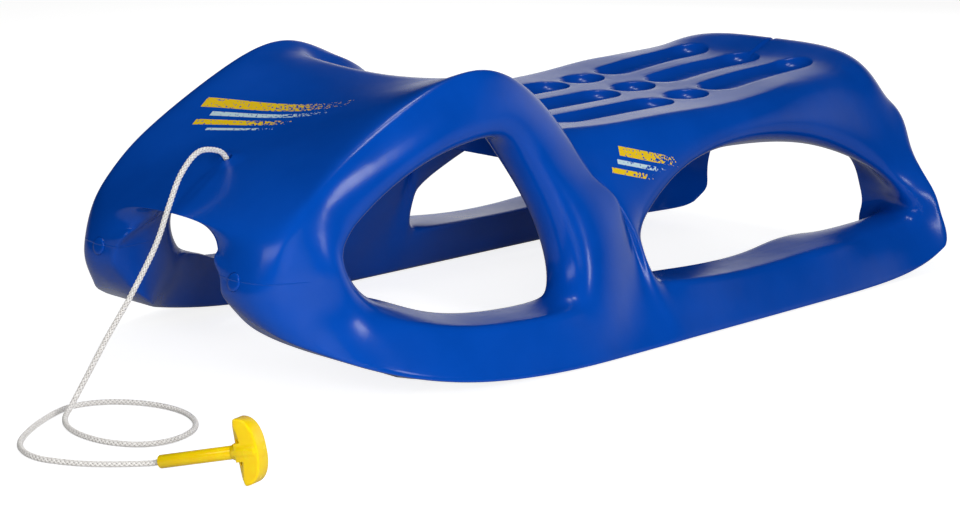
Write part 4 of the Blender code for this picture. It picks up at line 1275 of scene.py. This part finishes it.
def handle_tube(material):
    """The plain tube of the handle, cut square and slightly broken at its ends."""
    outer = SLEEVE_DIAMETER / 2
    bore = SLEEVE_BORE / 2
    lip = SLEEVE_ROUNDING
    profile = (
        (bore, SLEEVE_LENGTH),
        (outer - lip, SLEEVE_LENGTH),
        (outer - lip * 0.3, SLEEVE_LENGTH - lip * 0.3),
        (outer, SLEEVE_LENGTH - lip),
        (outer, lip),
        (outer - lip * 0.3, lip * 0.3),
        (outer - lip, 0),
        (bore, 0),
        (bore, SLEEVE_LENGTH),
    )
    sleeve = turned("handle_tube", profile)
    sleeve.matrix_world = looking_along(SLEEVE_DIRECTION, SLEEVE_END)
    sleeve = shade(made_plain(sleeve, material))
    dress(sleeve, "sleeve", "handle", "handle_sleeve")
    return sleeve


def half_moon(wall):
    """The crossbar's outline, drawn in by a wall: a full, rounded outer edge from tip to tip."""
    points = []
    for i in range(BAR_STEPS + 1):
        angle = math.pi * i / BAR_STEPS
        x = math.copysign(abs(math.cos(angle)) ** (2 / BAR_FULLNESS), math.cos(angle))
        z = abs(math.sin(angle)) ** (2 / BAR_FULLNESS)
        reach = BAR_DEPTH - wall - BAR_TIP_SET_BACK
        points.append((x * (BAR_LENGTH / 2 - wall), BAR_TIP_SET_BACK + z * reach))
    return points


def plate(name, outline, thickness):
    """A flat outline in X and Z, thick along Y."""
    bm = bmesh.new()
    face = bm.faces.new([bm.verts.new((x, -thickness / 2, z)) for x, z in outline])
    grown = bmesh.ops.extrude_face_region(bm, geom=[face])
    back = [item for item in grown["geom"] if isinstance(item, bmesh.types.BMVert)]
    bmesh.ops.translate(bm, vec=(0, thickness, 0), verts=back)
    return link_object(name, mesh_from(bm, name))


def grip_facet(side):
    """A wedge that slants off the front of one wing's inner side, most beside the hub."""
    bm = bmesh.new()
    front = BAR_THICKNESS / 2 + OVERRUN
    rings = []
    tip = BAR_LENGTH / 2 + OVERRUN
    for x, (back, rise) in ((HUB_WIDTH / 2, FACET_AT_HUB), (tip, FACET_AT_TIP)):
        corners = ((front, -OVERRUN), (back, -OVERRUN), (front, rise))
        rings.append([bm.verts.new((side * x, y, z)) for y, z in corners])
    bm.faces.new(rings[0])
    bm.faces.new(rings[1])
    for i in range(3):
        j = (i + 1) % 3
        bm.faces.new((rings[0][i], rings[0][j], rings[1][j], rings[1][i]))
    return link_object("facet_cutter", mesh_from(bm, "facet_cutter"))


def grip_pocket(side):
    """A small hollow beside the hub, in the slanted inner side."""
    bm = bmesh.new()
    bmesh.ops.create_uvsphere(bm, u_segments=24, v_segments=16, radius=POCKET_RADIUS)
    place = Vector((side * (HUB_WIDTH / 2 + POCKET_RADIUS * 0.7), *POCKET_PLACE))
    bmesh.ops.translate(bm, vec=place, verts=bm.verts)
    return link_object("pocket_cutter", mesh_from(bm, "pocket_cutter"))


def handle_grip(material):
    """A half-moon grip, hollow behind, with a hub in the middle that the rope runs through."""
    seat = SLEEVE_END + SLEEVE_DIRECTION * (SLEEVE_LENGTH + FIT_GAP)
    pose = looking_along(SLEEVE_DIRECTION, seat, math.radians(90) + BAR_ROLL)
    half_hub = HUB_WIDTH / 2
    outline = [(half_hub, HUB_FLARE / 2), *half_moon(0), (-half_hub, HUB_FLARE / 2)]
    bar = plate("handle_grip", outline, WING_THICKNESS)
    rounding = bar.modifiers.new("rounding", "BEVEL")
    rounding.width = BAR_ROUNDING
    rounding.segments = 6
    rounding.limit_method = "ANGLE"
    rounding.angle_limit = math.radians(50)
    top = BAR_DEPTH - HUB_RIM
    rim = [
        (BAR_THICKNESS / 2 - HUB_RIM * (1 - math.cos(t)), top + HUB_RIM * math.sin(t))
        for t in [math.pi / 2 * i / 6 for i in range(6)]
    ]
    foot = [(BAR_THICKNESS / 2, HUB_FLARE), (HUB_FOOT_RADIUS, 0), (0, 0)]
    hub = turned("hub", [(0, HUB_HEIGHT), *reversed(rim), *foot])
    inner = half_moon(BAR_WALL)
    outline = [
        (half_hub, -OVERRUN),
        (inner[0][0], -OVERRUN),
        *inner,
        (inner[-1][0], -OVERRUN),
        (-half_hub, -OVERRUN),
        (-half_hub, HUB_DEPTH),
        (half_hub, HUB_DEPTH),
    ]
    hollow = plate("hollow_cutter", outline, WING_THICKNESS / 2 - BAR_WALL)
    hollow.data.transform(Matrix.Translation((0, -WING_THICKNESS / 4 - BAR_WALL / 2, 0)))
    bore = SLEEVE_BORE / 2
    hole = turned(
        "bore_cutter",
        ((0, HUB_DEPTH + OVERRUN), (bore, HUB_DEPTH + OVERRUN), (bore, -OVERRUN), (0, -OVERRUN)),
    )
    tools = [(hub, "UNION"), (hollow, "DIFFERENCE"), (hole, "DIFFERENCE")]
    for make in (grip_facet, grip_pocket):
        tools += [(make(side), "DIFFERENCE") for side in (1, -1)]
    for tool, operation in tools:
        boolean = bar.modifiers.new(tool.name, "BOOLEAN")
        boolean.operation = operation
        boolean.solver = "EXACT"
        boolean.object = tool
    edge = bar.modifiers.new("broken edges", "BEVEL")
    edge.width = BAR_BROKEN_EDGE
    edge.segments = 3
    edge.limit_method = "ANGLE"
    edge.angle_limit = math.radians(35)
    grip = made_plain(bar, material)
    grip.data.transform(pose)
    for tool, _ in tools:
        bpy.data.objects.remove(tool)
    shade(grip)
    dress(grip, "crossbar", "handle", "handle_crossbar")
    return grip


# Studio


def add_lamp(name, azimuth, elevation, distance, size, strength, aim=(0, 0, 0.1), mirrored=True):
    """A soft rectangular lamp that looks at the object; azimuth 0 is before the nose, 90 at +X."""
    around, up = math.radians(azimuth), math.radians(elevation)
    back = Vector((math.sin(around) * math.cos(up), -math.cos(around) * math.cos(up), math.sin(up)))
    data = bpy.data.lights.new(name, "AREA")
    data.shape = "RECTANGLE"
    data.size, data.size_y = size
    data.energy = strength * math.pi * size[0] * size[1]
    lamp = link_object(name, data)
    lamp.location = Vector(aim) + back * distance
    lamp.rotation_mode = "QUATERNION"
    lamp.rotation_quaternion = (-back).to_track_quat("-Z", "Y")
    lamp.visible_glossy = mirrored


def light_world():
    """A white background, a bright wall that only reflections show, and a little fill."""
    world = bpy.data.worlds.new("studio")
    bpy.context.scene.world = world
    world.use_nodes = True
    world.cycles.sampling_method = "NONE"
    tree = world.node_tree
    tree.nodes.clear()
    ray = add(tree, "LightPath").outputs
    direction = add(tree, "TexCoord").outputs["Generated"]
    upward = add(tree, "SeparateXYZ", (direction,)).outputs[2]
    behind = add(tree, "VectorMath", (direction, WALL_BEHIND), operation="DOT_PRODUCT")
    across = add(tree, "VectorMath", (direction, WALL_ACROSS), operation="DOT_PRODUCT")
    wall = add(tree, "MapRange", (behind, 0.0, 0.45, 0, 1))
    for edge in (
        add(tree, "MapRange", (upward, 0.2, 0.5, 1, 0)),
        add(tree, "MapRange", (across, 0.14, 0.24, 1, 0)),
        ray["Is Glossy Ray"],
    ):
        wall = add(tree, "Math", (wall, edge), operation="MULTIPLY")
    straight = (ray["Is Camera Ray"], ray["Is Transmission Ray"])
    seen = add(tree, "Math", straight, operation="MAXIMUM")
    level = add(tree, "Math", (seen, wall), operation="MAXIMUM")
    shown = add(tree, "Math", (seen, ray["Is Glossy Ray"]), operation="MAXIMUM")
    rest = add(tree, "Math", (1.0, shown), operation="SUBTRACT")
    level = add(tree, "Math", (rest, WORLD_FILL, level), operation="MULTIPLY_ADD")
    glow = add(tree, "Background", {"Color": (1, 1, 1, 1), "Strength": level})
    add(tree, "OutputWorld", {"Surface": glow})


def lay_floor():
    """A white floor that keeps the object's shadow."""
    bpy.ops.mesh.primitive_plane_add(size=FLOOR_SIZE, location=(0, 0, 0))
    floor = bpy.context.object
    floor.name = "floor"
    material = bpy.data.materials.new("white floor")
    material.use_nodes = True
    tree = material.node_tree
    ray = add(tree, "LightPath").outputs
    straight = (ray["Is Camera Ray"], ray["Is Transmission Ray"])
    seen = add(tree, "Math", straight, operation="MAXIMUM")
    mirrored = add(tree, "Math", (ray["Is Glossy Ray"], 0.1), operation="MULTIPLY")
    glow = add(tree, "Math", (seen, 0.84, mirrored), operation="MULTIPLY_ADD")
    values = {
        "Base Color": srgb("B8B8B8"),
        "Roughness": 0.9,
        "Specular IOR Level": 0.0,
        "Emission Color": (1, 1, 1, 1),
        "Emission Strength": glow,
    }
    for name, value in values.items():
        give(tree, tree.nodes["Principled BSDF"].inputs[name], value)
    floor.data.materials.append(material)


def make_camera():
    """The camera at the photograph's place."""
    data = bpy.data.cameras.new("camera")
    data.lens = CAMERA_LENS
    data.sensor_width = SENSOR_WIDTH
    data.clip_start = CAMERA_NEAR
    camera = link_object("camera", data)
    camera.location = CAMERA_PLACE
    camera.rotation_mode = "QUATERNION"
    camera.rotation_quaternion = CAMERA_AIM.to_track_quat("-Z", "Y")
    bpy.context.scene.camera = camera


make_camera()
bpy.context.scene.view_settings.view_transform = "Standard"

blue = moulded_blue()
braid = braided()
yellow = yellow_plastic()
steel = rolled_steel()
zinc = zinc_plate()

moulding = rounded_body()
mouth, down, wall = tunnel_line(moulding)
poses = plug_poses(moulding)
drain = drain_cutter(moulding)
sink_recesses(moulding)
raise_boss(moulding, mouth)
moulding = cut_body(moulding, body_cutters(mouth, down, wall, poses, drain))
moulding.data.materials.clear()
moulding.data.materials.append(blue)
shade(moulding)
print(f"body: {sum(len(p.vertices) - 2 for p in moulding.data.polygons)} triangles")
dress(moulding, "sled", "body_shell", "body_shell")
nose_plugs(poses, blue)

under = mouth + down * (wall - KNOT_SEATING)
hub_back = SLEEVE_END + SLEEVE_DIRECTION * (SLEEVE_LENGTH + FIT_GAP + HUB_DEPTH - KNOT_SEATING)
straight = SLEEVE_END - SLEEVE_DIRECTION * SLEEVE_TRAVEL
route = [under, mouth, *[Vector(point) for point in ROPE_ROUTE], straight, SLEEVE_END]
points, length = smooth_route(route, ROPE_STEP)
points.append(hub_back)
length += (hub_back - SLEEVE_END).length
rope = braided_rope(points, braid)
dress(rope, "sled", "rope", "tow_rope")
hood_knot = stopper_knot("hood_stopper_knot", under + down * FIT_GAP, down, braid, "hood_knot")
knot_place = hub_back + SLEEVE_DIRECTION * FIT_GAP
name = "handle_stopper_knot"
end_knot = stopper_knot(name, knot_place, SLEEVE_DIRECTION, braid, "handle_knot")
tube = handle_tube(yellow)
grip = handle_grip(yellow)
print(f"rope: {length:.3f} m, {len(rope.data.polygons)} faces")

for name, node in frame["nodes"].items():
    for word, material in (("runner_strip", steel), ("strip_screw", zinc)):
        if name.startswith(word):
            node.data.materials.clear()
            node.data.materials.append(material)

light_world()
lay_floor()
for lamp in LAMPS:
    add_lamp(*lamp)
